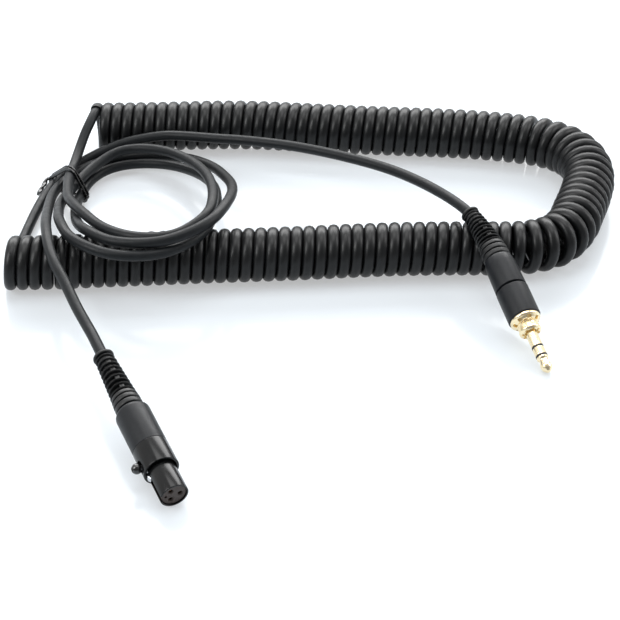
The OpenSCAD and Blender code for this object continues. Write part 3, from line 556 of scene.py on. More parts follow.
class Tree:
    """A Geometry Nodes tree with named inputs, ended by Realize Instances and Set Material."""

    KINDS = {int: "NodeSocketInt", float: "NodeSocketFloat"}

    def __init__(self, name: str, inputs: dict[str, object]) -> None:
        """Makes the tree and its inputs.

        Args:
            name: The tree's name.
            inputs: Default values by input name; an object's default is None.
        """
        self.tree = bpy.data.node_groups.new(name, "GeometryNodeTree")
        self.face = self.tree.interface
        self.ids: dict[str, str] = {}
        self.face.new_socket("Geometry", in_out="INPUT", socket_type="NodeSocketGeometry")
        for key, value in {**inputs, "Material": None}.items():
            kind = self.KINDS.get(type(value), "NodeSocketObject")
            kind = "NodeSocketMaterial" if key == "Material" else kind
            socket = self.face.new_socket(key, in_out="INPUT", socket_type=kind)
            if value is not None:
                socket.default_value = value
            self.ids[key] = socket.identifier
        self.face.new_socket("Geometry", in_out="OUTPUT", socket_type="NodeSocketGeometry")
        self.given = self.tree.nodes.new("NodeGroupInput").outputs

    def add(self, kind: str, settings: dict | None = None, links: dict | None = None):
        """Adds one node to this tree, as the function of the same name does."""
        return add(self.tree, kind, settings, links)

    def rail(self) -> Socket:
        """Turns the object's own edges into a curve."""
        return self.add("GeometryNodeMeshToCurve", links={0: self.given["Geometry"]}).outputs[0]

    def store(self, name: str, geometry: Socket, value: Socket, kind: str = VECTOR) -> Socket:
        """Stores a value on the points of a geometry.

        Args:
            name: The attribute's name.
            geometry: The geometry.
            value: The value.
            kind: The attribute's data type.

        Returns:
            The geometry with the attribute.
        """
        return self.add(
            "GeometryNodeStoreNamedAttribute",
            {"data_type": kind, "domain": "POINT", "Name": name},
            {"Geometry": geometry, "Value": value}).outputs[0]

    def stored(self, name: str, kind: str = VECTOR) -> Socket:
        """Reads the attribute of that name and data type."""
        node = self.add("GeometryNodeInputNamedAttribute", {"data_type": kind, "Name": name})
        return node.outputs["Attribute"]

    def rounded_rim(self, width: Socket, height: Socket) -> Socket:
        """Draws a rectangle with corners rounded by the tree's input Rounding."""
        rim = self.add(
            "GeometryNodeCurvePrimitiveQuadrilateral", links={"Width": width, "Height": height})
        return self.add(
            "GeometryNodeFilletCurve", {"mode": "POLY", "Count": 3},
            {"Curve": rim.outputs[0], "Radius": self.given["Rounding"]}).outputs[0]

    def sweep(self, rail: Socket, rim: Socket) -> Socket:
        """Sweeps a rim along a rail and closes the ends."""
        return self.add(
            "GeometryNodeCurveToMesh", {"Fill Caps": True},
            {"Curve": rail, "Profile Curve": rim}).outputs[0]

    def copies(self, points: Socket, piece: Socket, axis: str, ahead: Socket, **more) -> Socket:
        """Sets copies of a piece on points.

        Args:
            points: The points.
            piece: The piece.
            axis: The piece's axis that is turned.
            ahead: The direction that it is turned to.
            more: Further inputs by name.

        Returns:
            The copies, as instances.
        """
        turn = self.add("FunctionNodeAlignRotationToVector", {"axis": axis}, {"Vector": ahead})
        links = {"Points": points, "Instance": piece, "Rotation": turn.outputs[0], **more}
        return self.add("GeometryNodeInstanceOnPoints", links=links).outputs[0]

    def end(self, geometry: Socket) -> None:
        """Ends the tree with its instances realised and its material set."""
        real = self.add("GeometryNodeRealizeInstances", links={0: geometry})
        dressed = self.add(
            "GeometryNodeSetMaterial", links={0: real.outputs[0], "Material": self.given["Material"]})
        smooth = self.add("GeometryNodeSetShadeSmooth", links={0: dressed.outputs[0]})
        self.add("NodeGroupOutput", links={0: smooth.outputs[0]})

    def run(self, obj: bpy.types.Object, finish: Finish, **values: object) -> bpy.types.Object:
        """Runs the tree on an object and bakes the result into its mesh.

        Args:
            obj: The object, in millimetres.
            finish: The finish that the tree sets.
            values: Input values by name, with underscores for spaces.

        Returns:
            The same object.
        """
        modifier = obj.modifiers.new(self.tree.name, "NODES")
        modifier.node_group = self.tree
        modifier[self.ids["Material"]] = finish.material()
        for key, value in values.items():
            modifier[self.ids[key.replace("_", " ")]] = value
        return baked(obj)


def sweep_tree(pressed: bool = False) -> Tree:
    """Sweeps a jacket along a line and stores the straightened wire's coordinates.

    Args:
        pressed: Whether the wire is pressed flat against its neighbours and turned outwards.

    Returns:
        The tree.
    """
    inputs = {"Radius": 1.65, "Rounding": 1.3} if pressed else {"Radius": 1.65, "Sides": 20}
    t = Tree("pressed_jacket" if pressed else "swept_jacket", inputs)
    way = t.add("GeometryNodeSplineParameter")
    rail = t.store("along", t.rail(), way.outputs["Length"], "FLOAT")
    if pressed:
        rail = t.add(
            "GeometryNodeSetCurveNormal", {"mode": "FREE"},
            {0: rail, "Normal": t.stored("outward")}).outputs[0]
        side = t.add(
            "ShaderNodeMath", {"operation": "MULTIPLY", 1: 2.0}, {0: t.given["Radius"]}).outputs[0]
        rim = t.rounded_rim(side, side)
    else:
        rim = t.add(
            "GeometryNodeCurvePrimitiveCircle",
            links={"Resolution": t.given["Sides"], "Radius": t.given["Radius"]}).outputs[0]
    rim = t.store("round", rim, t.add("GeometryNodeInputPosition").outputs[0])
    across = t.add("ShaderNodeSeparateXYZ", links={0: t.stored("round")})
    straight = t.add(
        "ShaderNodeCombineXYZ",
        links={0: across.outputs[0], 1: across.outputs[1], 2: t.stored("along", "FLOAT")})
    t.end(t.store("straight", t.sweep(rail, rim), straight.outputs[0]))
    return t


def strip_tree() -> Tree:
    """Sweeps a flat strip with rounded edges along a line and twists it on the way."""
    t = Tree("swept_strip", {"Width": 1.3, "Thickness": 0.5, "Rounding": 0.2, "Twist": 0.0})
    way = t.add("GeometryNodeSplineParameter")
    tilt = t.add(
        "ShaderNodeMath", {"operation": "MULTIPLY"}, {0: way.outputs["Factor"], 1: t.given["Twist"]})
    normal = t.add("GeometryNodeSetCurveNormal", {"mode": "Z_UP"}, {0: t.rail()})
    rail = t.add("GeometryNodeSetCurveTilt", links={0: normal.outputs[0], "Tilt": tilt.outputs[0]})
    t.end(t.sweep(rail.outputs[0], t.rounded_rim(t.given["Width"], t.given["Thickness"])))
    return t


def rib_tree() -> Tree:
    """Sets a boot's ribs along its spine, from the small end to the big one."""
    t = Tree("boot_ribs", {"Rib": None, "Ribs": 10, "Small Radius": 2.6, "Big Radius": 4.0})
    spine = t.add(
        "GeometryNodeResampleCurve", {"mode": "COUNT"}, {"Curve": t.rail(), "Count": t.given["Ribs"]})
    way = t.add("GeometryNodeSplineParameter")
    size = t.add("ShaderNodeMapRange", links={
        "Value": way.outputs["Factor"], "To Min": t.given["Small Radius"],
        "To Max": t.given["Big Radius"]}).outputs[0]
    scale = t.add("ShaderNodeCombineXYZ", {2: 1.0}, {0: size, 1: size})
    tangent = t.add("GeometryNodeInputTangent")
    rib = t.add("GeometryNodeObjectInfo", links={"Object": t.given["Rib"]})
    t.end(t.copies(
        spine.outputs[0], rib.outputs["Geometry"], "Z", tangent.outputs[0], Scale=scale.outputs[0]))
    return t


def thread_tree() -> Tree:
    """Winds a thread's crest round a turned core."""
    t = Tree("wound_thread", {"Radius": 3.0, "Turns": 7.0, "Length": 2.6, "Crest": 0.14})
    way = t.add("GeometryNodeCurveSpiral", {"Resolution": 64}, {
        "Rotations": t.given["Turns"], "Start Radius": t.given["Radius"],
        "End Radius": t.given["Radius"], "Height": t.given["Length"]})
    rim = t.add(
        "GeometryNodeCurvePrimitiveCircle", {"Resolution": 6}, {"Radius": t.given["Crest"]})
    both = t.add("GeometryNodeJoinGeometry", links={0: t.given["Geometry"]})
    t.tree.links.new(t.sweep(way.outputs[0], rim.outputs[0]), both.inputs[0])
    t.end(both.outputs[0])
    return t


def notch_tree() -> Tree:
    """Cuts a ring of notches into a turned piece."""
    t = Tree(
        "notch_ring",
        {"Notches": 6, "Radius": 4.0, "Height": 0.0, "Width": 1.0, "Depth": 1.0, "Length": 1.0})
    ring = t.add(
        "GeometryNodeMeshCircle",
        links={"Vertices": t.given["Notches"], "Radius": t.given["Radius"]})
    at = t.add("GeometryNodeInputPosition")
    size = t.add("ShaderNodeCombineXYZ", links={
        0: t.given["Depth"], 1: t.given["Width"], 2: t.given["Length"]})
    tool = t.add("GeometryNodeMeshCube", links={"Size": size.outputs[0]})
    tools = t.copies(ring.outputs[0], tool.outputs[0], "X", at.outputs[0])
    lift = t.add("ShaderNodeCombineXYZ", links={2: t.given["Height"]})
    tools = t.add("GeometryNodeTransform", links={0: tools, "Translation": lift.outputs[0]})
    tools = t.add("GeometryNodeRealizeInstances", links={0: tools.outputs[0]})
    notched = t.add(
        "GeometryNodeMeshBoolean", {"operation": "DIFFERENCE", "solver": "EXACT"},
        {"Mesh 1": t.given["Geometry"], "Mesh 2": tools.outputs[0]})
    t.end(notched.outputs[0])
    return t


# ------------------------------------------------------------------ the cable's route
def spline(points: Sequence[Point], steps: int) -> np.ndarray:
    """Lays a smooth curve through points.

    Args:
        points: The points, in millimetres.
        steps: New points to each stretch.

    Returns:
        The curve's points, the last one included.
    """
    p = np.asarray(points, float)
    n = len(p)
    before = np.vstack([2 * p[0] - p[1], p[:-2]])
    after = np.vstack([p[2:], 2 * p[n - 1] - p[n - 2]])
    t = (np.arange(steps) / steps)[:, None]
    out = [
        0.5 * (2 * b + (c - a) * t + (2 * a - 5 * b + 4 * c - d) * t**2
               + (3 * b - a - 3 * c + d) * t**3)
        for a, b, c, d in zip(before, p[:-1], p[1:], after)
    ]
    return np.vstack([*out, p[-1:]])


def steps_of(points: np.ndarray) -> np.ndarray:
    """Distances from each point to the next, in their unit."""
    return np.linalg.norm(np.diff(points, axis=0), axis=1)


@dataclass
class Route:
    """The cable's way from the XLR to the jack, in millimetres before the shift."""

    curl_od: float = 16.8
    curls: int = 100
    points_per_curl: int = 28
    squeeze: float = 0.8
    ease: float = 2.2
    hairpin: tuple[Point, ...] = (
        (-92.75, 6.2), (-78, 6.6), (-65, 7.6), (-50, 8.6), (-34.7, 9.7), (-19.4, 10.6),
        (-4, 11.6), (11.3, 12.9), (26.8, 13.9), (42.3, 14.3), (54.5, 14.3), (65.4, 14.9),
        (74.9, 18.7), (81, 26.6), (84.6, 36.2), (87.9, 45.9), (90.3, 55.9), (89.9, 65.8),
        (85.6, 74.3), (77.4, 80), (67.6, 83), (57, 85), (45.4, 86.4), (29.8, 87.6), (12.7, 88.9),
        (-4.4, 90.6), (-21.6, 92.1), (-35.4, 92.1), (-56, 91.1), (-74, 90.6),
    )
    loop_way: tuple[Point, ...] = (
        (-79.62, 66.87, 7.17), (-79.87, 63.27, 7.45), (-79.97, 58.58, 8.41),
        (-79.75, 53.45, 9.51), (-79.06, 46.27, 10.88), (-77.82, 37.66, 12.7),
        (-75.09, 29.37, 15.16), (-70.53, 19.91, 17.49), (-63.53, 10.1, 18.48),
        (-52.99, 3.57, 19.41), (-41.38, 3.38, 20.42), (-32.46, 11.41, 22.27),
        (-31.01, 24.13, 21.1), (-32.35, 37.26, 18.46), (-35.43, 49.05, 15.8),
        (-40.68, 59.84, 13.36), (-48.65, 69, 11.37), (-57.73, 73.66, 9.82), (-65.28, 73.56, 8.68),
        (-70.49, 69.97, 7.15), (-74.33, 65.16, 6.3), (-77.03, 59.9, 5.73), (-78.82, 55.09, 5.58),
        (-79.88, 50.91, 5.89), (-80.78, 45.55, 6.97), (-80.82, 38, 9.33), (-79.76, 28.16, 13.09),
        (-77.65, 15.47, 17.58), (-72.03, 2.3, 19.43), (-59.82, -5.09, 18.89),
        (-44.78, -3.9, 18.56), (-33.56, 6.56, 18.85), (-30.31, 22.73, 17.77),
        (-30.84, 37.4, 14.66), (-33.62, 50.02, 11.18), (-38.95, 61.14, 7.93),
        (-47.1, 69.81, 5.45), (-56.39, 73.77, 3.88), (-64.72, 73.4, 3.24), (-70.68, 69.87, 2.84),
        (-74.08, 64.91, 2.51), (-75.73, 59.8, 2.4), (-76.52, 54.92, 2.68), (-76.87, 50.26, 3.42),
        (-76.76, 45.05, 4.71), (-76.13, 38.69, 6.78), (-74.93, 30.65, 9.9), (-73.08, 20.2, 14.31),
        (-69.15, 8.32, 19.24), (-59.2, -0.83, 20.61), (-44.34, -2.63, 22.03),
        (-31.6, 4.63, 23.79), (-25.99, 19.27, 22.73), (-25.54, 35.7, 17.76),
        (-28.59, 50.94, 12.48), (-34.1, 64.51, 8.52), (-43.33, 74.36, 5.77), (-54.42, 78, 4.41),
        (-64.7, 77.07, 4.19), (-72.73, 73.63, 4.11), (-78.14, 69.18, 3.67), (-81.6, 64.35, 3.46),
        (-82.68, 62.21, 3.58),
    )
    jack_way: tuple[Point, ...] = (
        (-93.26, 15.23, 1.81), (-92.69, 24.52, 1.73), (-91.65, 34.4, 1.7), (-90.67, 42.36, 1.82),
        (-89.39, 50.3, 2.01), (-88.08, 56.34, 2.2), (-86.07, 62.96, 2.49), (-84.11, 67.13, 2.79),
        (-80.64, 71.86, 3.45), (-77.18, 74.91, 4.26), (-73.56, 77.12, 5.29),
        (-69.55, 78.81, 6.53), (-65.39, 79.93, 7.77), (-61, 80.6, 8.9), (-51.3, 80.6, 10.7),
        (-44.9, 79.2, 11.5), (-32, 75, 12.8), (-22, 71.5, 14), (-7, 65.3, 15.5), (8, 56.8, 17),
        (22.7, 46.5, 18.4), (33.3, 36, 19.5), (42, 24.6, 20.4),
    )
    coil_way: tuple[Point, ...] = (
        (-75.48, 84.95, 13.57), (-77.13, 80.83, 11.22), (-78.6, 74.6, 8.47),
    )
    xlr_way: tuple[Point, ...] = (
        (-83.62, 59.75, 3.83), (-84.66, 55.17, 4.5), (-85.06, 48.45, 5.83),
        (-83.79, 31.18, 11.26), (-81.9, 15, 17), (-80, 4, 19), (-78.8, -1.7, 18.9),
        (-76.2, -9.3, 18.2), (-73.2, -15.3, 17.1), (-70.6, -21.3, 16), (-67.7, -28, 15),
        (-65.3, -33, 14.4), (-62.3, -39.5, 13.9),
    )

    def __post_init__(self) -> None:
        """Measures the hairpin's middle line."""
        self.line = spline(self.hairpin, 10)
        ahead = np.vstack([self.line[1:], self.line[-1:]])
        behind = np.vstack([self.line[:1], self.line[:-1]])
        self.tangents = (ahead - behind) / np.linalg.norm(ahead - behind, axis=1)[:, None]
        t = self.tangents
        turn = np.abs(t[:-1, 0] * t[1:, 1] - t[:-1, 1] * t[1:, 0])
        steps = steps_of(self.line)
        inside = steps - (self.curl_od / 2 - WIRE_R * math.cos(math.radians(30))) * turn
        # In the sharpest part of the bend the curls are squeezed on its inner side
        self.inner = np.concatenate([[0], np.cumsum(np.maximum(inside, self.squeeze * steps))])
        self.last_turn = self.curls * 360 + 180
        self.axis_h = self.curl_od / 2 + 0.02

    def curl(self, angles: np.ndarray) -> tuple[np.ndarray, np.ndarray]:
        """Centre of the curled wire, and which way is out from the curls' middle.

        Args:
            angles: How far the wire has curled, in degrees.

        Returns:
            The points in millimetres and the directions.
        """
        n = len(self.line)
        f = np.interp(angles / self.last_turn * self.inner[-1], self.inner, np.arange(n))
        i = np.minimum(n - 2, f.astype(int))
        g = (f - i)[:, None]
        c = self.line[i] * (1 - g) + self.line[i + 1] * g
        t = self.tangents[i] * (1 - g) + self.tangents[i + 1] * g
        t /= np.linalg.norm(t, axis=1)[:, None]
        w = np.radians(-90 - angles)
        out = np.column_stack([-t[:, 1] * np.cos(w), t[:, 0] * np.cos(w), np.sin(w)])
        middle = np.column_stack([c, np.full(len(c), self.axis_h)])
        return middle + out * (self.curl_od / 2 - CURL_WIRE_R), out

    def curly(self) -> tuple[np.ndarray, np.ndarray]:
        """The whole curly cord's line and its outward directions."""
        n = round(self.last_turn / 360 * self.points_per_curl)
        return self.curl(np.linspace(0, self.last_turn, n))

    def start(self) -> np.ndarray:
        """The last points of the curls where the jack's lead leaves them."""
        return self.curl(np.array([36.0, 24.0, 12.0, 0.0]))[0]

    def strand(self, ends: Sequence[Point]) -> list[np.ndarray]:
        """The one strand from the back end of the curls to the XLR, in its three parts.

        Args:
            ends: The strand's last points, inside the XLR.

        Returns:
            The coil lead, the tied loops and the XLR lead.
        """
        first = self.curl(self.last_turn + np.array([-48.0, -36.0, -24.0, -12.0, 0.0]))[0]
        line = self.eased(np.vstack([first, self.coil_way, self.loop_way, self.xlr_way, ends]))
        a, b = (int(np.argmin(np.linalg.norm(line - self.loop_way[k], axis=1))) for k in (0, -1))
        return [line[: a + 1], line[a : b + 1], line[b:]]

    def eased(self, points: np.ndarray) -> np.ndarray:
        """Lays an even line through points and eases its corners, with its ends kept.

        Args:
            points: The points, in millimetres.

        Returns:
            The line, with a point to each millimetre.
        """
        line = spline(points, 8)
        at = np.concatenate([[0], np.cumsum(steps_of(line))])
        even = np.linspace(0, at[-1], round(at[-1]) + 1)
        line = np.column_stack([np.interp(even, at, line[:, k]) for k in range(3)])
        reach = math.ceil(3 * self.ease)
        weights = np.exp(-0.5 * (np.arange(-reach, reach + 1) / self.ease) ** 2)
        weights /= weights.sum()
        before = 2 * line[0] - line[reach:0:-1]
        after = 2 * line[-1] - line[-2 : -reach - 2 : -1]
        padded = np.vstack([before, line, after])
        return np.column_stack([np.convolve(padded[:, k], weights, "valid") for k in range(3)])


class Cords:
    """The curly cord, its leads and the tied loops, each one tube."""

    def __init__(self, route: Route, jack: "Jack", xlr: "Xlr", tie: "Tie") -> None:
        """Keeps the route and what is on the cords."""
        self.route, self.jack, self.xlr, self.tie = route, jack, xlr, tie
        self.round, self.pressed = sweep_tree(), sweep_tree(pressed=True)

    def tube(
        self, name: str, points: np.ndarray, finish: Finish, out: np.ndarray | None = None
    ) -> tuple[bpy.types.Object, list[Point]]:
        """Sweeps one cord and dresses it as the solid of the same name.

        Args:
            name: The solid's name.
            points: Its line in millimetres, before the shift.
            finish: Its jacket.
            out: Outward directions, for a wire that is wound and pressed.

        Returns:
            The cord and its path in metres.
        """
        points = points + np.array(SHIFT)
        cord = line_object(name + "_jacket", points)
        if out is None:
            self.round.run(cord, finish, Radius=WIRE_R, Sides=20)
        else:
            outward = cord.data.attributes.new("outward", VECTOR, "POINT")
            outward.data.foreach_set("vector", out.astype(np.float32).ravel())
            self.pressed.run(cord, finish, Radius=CURL_WIRE_R, Rounding=CURL_WIRE_R * PRESSED)
        dress(placed(cord, Matrix.Identity(4), crease=60), finish, name)
        return cord, [tuple(p) for p in points * MM]

    def build(self) -> None:
        r = self.route
        points, out = r.curly()
        # The curls' jacket colour is painted darker than the leads' as painted shade between the
        # curls
        curly, path = self.tube("curly_cord", points, CURL_JACKET_PAINTED_SHADE, out)
        in_boot = [self.jack.boot_point(u) for u in np.linspace(self.jack.boot_l, 0, 5)]
        ends = [self.jack.point((0, 0, 3)), self.jack.point((0, 0, 6))]
        line = r.eased(np.vstack([r.start(), r.jack_way, in_boot, ends]))
        lead, path = self.tube("jack_lead", line, LEAD_JACKET)
        ends = [self.xlr.point((0, 0, z)) for z in (0, 6, 14, 27)]
        for name, line, far_end, lay, pieces in zip(
                ("coil_lead", "tied_loops", "xlr_lead"), r.strand(ends),
                ("object", "object", "connector"), ("loose", "coiled", "loose"),
                ((), self.tie.pieces, self.xlr.pieces)):
            lead, path = self.tube(name, line, LEAD_JACKET)


# ------------------------------------------------------------------ boots
@dataclass
class Boot:
    """A moulded strain relief: bead, thin ribs with webs, and bands at the housing."""

    name: str
    length: float
    small_d: float
    big_d: float
    ribs: int
    bands_l: float
    bead_l: float
    core_r: float = 2.2
    bore_r: float = 1.72
    rib_t: float = 0.42
    # The webs between the ribs start inside the core and end short of the ribs' edges
    web_w: float = 1.3
    web_from: float = 1.9
    web_short: float = 0.8
    web_turn: float = 0.0
    ring_step: float = 0.7
    # How far the boot goes into the housing, and how wide it is there
    spigot_l: float = 2.0
    spigot_r: float = 3.1

    def build(self, tree: Tree) -> bpy.types.Object:
        """Builds the boot straight, along Z, with its big end at zero.

        Args:
            tree: The tree that sets the ribs.

        Returns:
            The boot, in millimetres.
        """
        big, small, end = self.big_d / 2, self.small_d / 2, -self.length
        bead, foot = end + self.bead_l, -self.bands_l
        core = lathe(self.name, [
            (self.bore_r, end, 0.15), (small - 0.35, end, 0.3), (small + 0.05, end + 0.45, 0.3),
            (small, bead, 0.3), (self.core_r, bead + 0.15), (self.core_r, foot - 0.1),
            (big - 0.35, foot, 0.1), (big - 0.25, foot + 0.55, 0.2), (big - 0.2, foot + 1.15, 0.25),
            (big - 0.85, foot + 1.25, 0.1), (big - 0.85, foot + 1.5, 0.1),
            (big - 0.12, foot + 1.6, 0.3), (big - 0.05, foot + 3.05, 0.35),
            (big - 0.85, foot + 3.15, 0.1), (big - 0.85, foot + 3.4, 0.1),
            (big - 0.02, foot + 3.5, 0.3), (big, -0.25, 0.35), (big - 0.8, -0.1, 0.1),
            (big - 0.8, 0.05), (self.spigot_r, 0.1), (self.spigot_r, self.spigot_l),
            (self.bore_r, self.spigot_l),
        ], 64, self.ring_step)
        run = foot - bead
        pitch = run / self.ribs
        first, last = bead + pitch * 0.5, foot - pitch * 0.5
        rib = lathe("rib_pattern", [
            (0.4, -self.rib_t / 2), (0.93, -self.rib_t / 2), (1.0, -0.02, 0.05),
            (0.93, self.rib_t / 2), (0.4, self.rib_t / 2),
        ], 56)
        spine = line_object("ribs", [(0, 0, first + (last - first) * k / 40) for k in range(41)])
        tree.run(spine, BOOT_RUBBER, Rib=rib, Ribs=self.ribs, Small_Radius=small - 0.12,
                 Big_Radius=big - 0.3)
        bpy.data.objects.remove(rib)
        webs = []
        for k in range(self.ribs + 1):
            z = bead + k * pitch
            f = (z - bead) / run
            reach = small * (1 - f) + big * f - self.web_short
            turn = self.web_turn + (90 if k % 2 else 0)
            for side in (-1, 1):
                webs.append(block(
                    "web", (reach - self.web_from, self.web_w, pitch * 1.02),
                    (side * (reach + self.web_from) / 2, 0, z), turn, bevel=0.06))
        return joined(core, spine, *webs)


# ------------------------------------------------------------------ the plugs' places
@dataclass
class Plug:
    """A plug or socket, drawn along +Z of its own frame, which lies dipped on the surface."""

    heading: float
    dip: float
    pieces: list[bpy.types.Object]

    def lay(self, at: Point, height: float, length: float, roll: float = 0.0) -> None:
        """Works out the plug's frame, before the shift, and its place.

        Args:
            at: Where the middle of its end is, seen from above.
            height: How high the middle of its end is.
            length: Its length.
            roll: Its turn about its own axis, in degrees.
        """
        dip, heading = math.radians(self.dip), math.radians(self.heading)
        axis = Vector((math.cos(dip) * math.cos(heading), math.cos(dip) * math.sin(heading),
                       -math.sin(dip)))
        self.frame = (Matrix.Translation(Vector((*at, height)) - axis * length)
                      @ Matrix.Rotation(heading, 4, "Z")
                      @ Matrix.Rotation(math.pi / 2 + dip, 4, "Y")
                      @ Matrix.Rotation(math.radians(roll), 4, "Z"))
        self.place = Matrix.Translation(SHIFT) @ self.frame

    def point(self, p: Point) -> tuple[float, ...]:
        """Gives a point of the plug's frame in the cable's frame, before the shift."""
        return tuple(self.frame @ Vector(p))

    def keep(
        self, obj: bpy.types.Object, finish: Finish, *nodes: str, body: Body = Body.CABLE
    ) -> None:
        """Lays a piece down, dresses it and keeps it in the plug's list of pieces."""
        self.pieces.append(dress(placed(obj, self.place), finish, *nodes, body=body))


# ------------------------------------------------------------------ the jack
@dataclass
class Jack(Plug):
    """The stereo jack, drawn along +Z from its rear housing's rear face."""

    rear_l: float = 11.7
    front_l: float = 11.0
    d: float = 9.9
    wall: float = 1.0
    boot_l: float = 20.0
    boot_bend: float = 11.8
    boot_turn: float = -72.0
    flange_t: float = 1.2
    flange_d: float = 9.2
    thread_l: float = 2.8
    thread_d: float = 6.3
    nose_l: float = 1.2
    pin_d: float = 3.5
    pin_l: float = 14.0
    tip_l: float = 5.3
    ring_l: float = 2.6
    band_l: float = 0.6
    heading: float = JACK_HEADING
    dip: float = JACK_DIP
    tip_at: Point = (67.5, -39.3)
    # The tip rests on the surface this far from its end, at this share of the pin's radius
    tip_cone: float = 1.6
    tip_share: float = 0.9
    pieces: list[bpy.types.Object] = field(default_factory=list)

    def __post_init__(self) -> None:
        """Works out the stations along the plug and its place."""
        self.face = self.rear_l + self.front_l
        self.base = self.face + self.flange_t + self.thread_l + self.nose_l
        self.end = self.base + self.pin_l
        dip = math.radians(self.dip)
        rest_r = self.pin_d / 2 * self.tip_share
        height = rest_r * math.cos(dip) - self.tip_cone * math.sin(dip)
        self.lay(self.tip_at, height, self.end)
        self.bend_r = self.boot_l / math.radians(self.boot_bend)

    def bent(self, p: Point) -> Vector:
        """Bends a point of the boot, whose straight form runs down from zero."""
        turn = Matrix.Rotation(math.radians(self.boot_turn), 3, "Z")
        q = turn.inverted() @ Vector((p[0], p[1], 0))
        w = -p[2] / self.bend_r
        if w < 0:
            return Vector(p)
        q.x -= self.bend_r
        x, z = q.x * math.cos(w), q.x * math.sin(w)
        return turn @ Vector((x + self.bend_r, q.y, z))

    def boot_point(self, u: float) -> tuple[float, ...]:
        """Middle of the boot, u from its housing end, in the cable's frame."""
        return self.point(self.bent((0, 0, -u)))

    def build(self, ribs: Tree, thread: Tree, notches: Tree) -> None:
        """Builds the jack's pieces.

        Args:
            ribs: The tree that sets the boot's ribs.
            thread: The tree that winds the collar's thread.
            notches: The tree that cuts the collar's notches.
        """
        boot = Boot("jack_boot_moulding", self.boot_l, small_d=5.7, big_d=8.5, ribs=10,
                    bands_l=5.2, bead_l=1.0).build(ribs)
        for v in boot.data.vertices:
            v.co = self.bent(v.co)
        self.keep(boot, BOOT_RUBBER, "jack_boot")
        self.housings()
        self.collar(thread, notches)
        self.pin()

    def housings(self) -> None:
        """Turns the two housings, which meet in a fine groove."""
        r, split, bore = self.d / 2, self.rear_l, self.d / 2 - self.wall
        self.keep(lathe("jack_rear_shell", [
            (3.15, 0.0, 0.1), (4.2, 0.0, 0.35), (r - 0.32, 2.2, 1.2), (r - 0.12, split - 0.42, 0.15),
            (r - 0.8, split - 0.26, 0.05), (r - 0.9, split - 0.02), (bore, split - 0.02), (bore, 2.0),
            (3.15, 2.0),
        ], SHELL_SIDES), HOUSING_COAT, "jack_rear_housing")
        self.keep(lathe("jack_front_shell", [
            (bore - 0.75, split - 3), (bore - FIT, split - 3), (bore - FIT, split + 0.02),
            (r - 0.9, split + 0.02), (r - 0.8, split + 0.2, 0.05), (r - 0.02, split + 0.36, 0.15),
            (r, self.face - 0.3, 0.25), (r - 0.25, self.face, 0.1), (bore, self.face),
            (bore, self.face - 5.2), (bore - 0.75, self.face - 5.2),
        ], SHELL_SIDES), HOUSING_COAT, "jack_front_housing")

    def collar(self, thread: Tree, notches: Tree) -> None:
        """Turns the gold collar, winds its thread and cuts its notches."""
        crest, turns, seat = 0.14, 7.0, self.d / 2 - self.wall - FIT
        f, t, core = self.face, self.thread_d / 2, self.thread_d / 2 - crest
        up, root = self.flange_t, self.face + self.flange_t + 0.55
        end = self.face + self.flange_t + self.thread_l
        collar = lathe("jack_collar_turned", [
            (3.0, f - 3), (seat, f - 3), (seat, f), (self.flange_d / 2, f + 0.02, 0.08),
            (self.flange_d / 2, f + up * 0.55, 0.25), (self.flange_d / 2 - 0.65, f + up, 0.3),
            (t + 0.45, root - 0.1, 0.3), (core, root + 0.1), (core, end - 0.15),
            (t + 0.2, end, 0.15), (t + 0.2, self.base - 0.6, 0.2), (t - 0.45, self.base, 0.15),
            (2.2, self.base, 0.05), (2.0, self.base - 0.75, 0.05), (1.8, self.base - 0.75),
            (1.8, f - 0.5), (3.0, f - 0.5),
        ], SHELL_SIDES)
        notches.run(collar, GOLD_JACK, Notches=8, Radius=self.flange_d / 2 - 0.75, Height=root,
                    Width=1.3, Depth=1.5, Length=1.5)
        notches.run(collar, GOLD_JACK, Notches=8, Radius=2.4, Height=self.base, Width=0.8,
                    Depth=0.9, Length=1.2)
        ridge = mesh_object("ridge", [(0, 0, 0)])
        thread.run(ridge, GOLD_JACK, Radius=core, Turns=turns, Length=end - root - 0.35, Crest=crest)
        ridge.data.transform(Matrix.Translation((0, 0, root + 0.15)))
        self.keep(joined(collar, ridge), GOLD_JACK, "jack_collar")

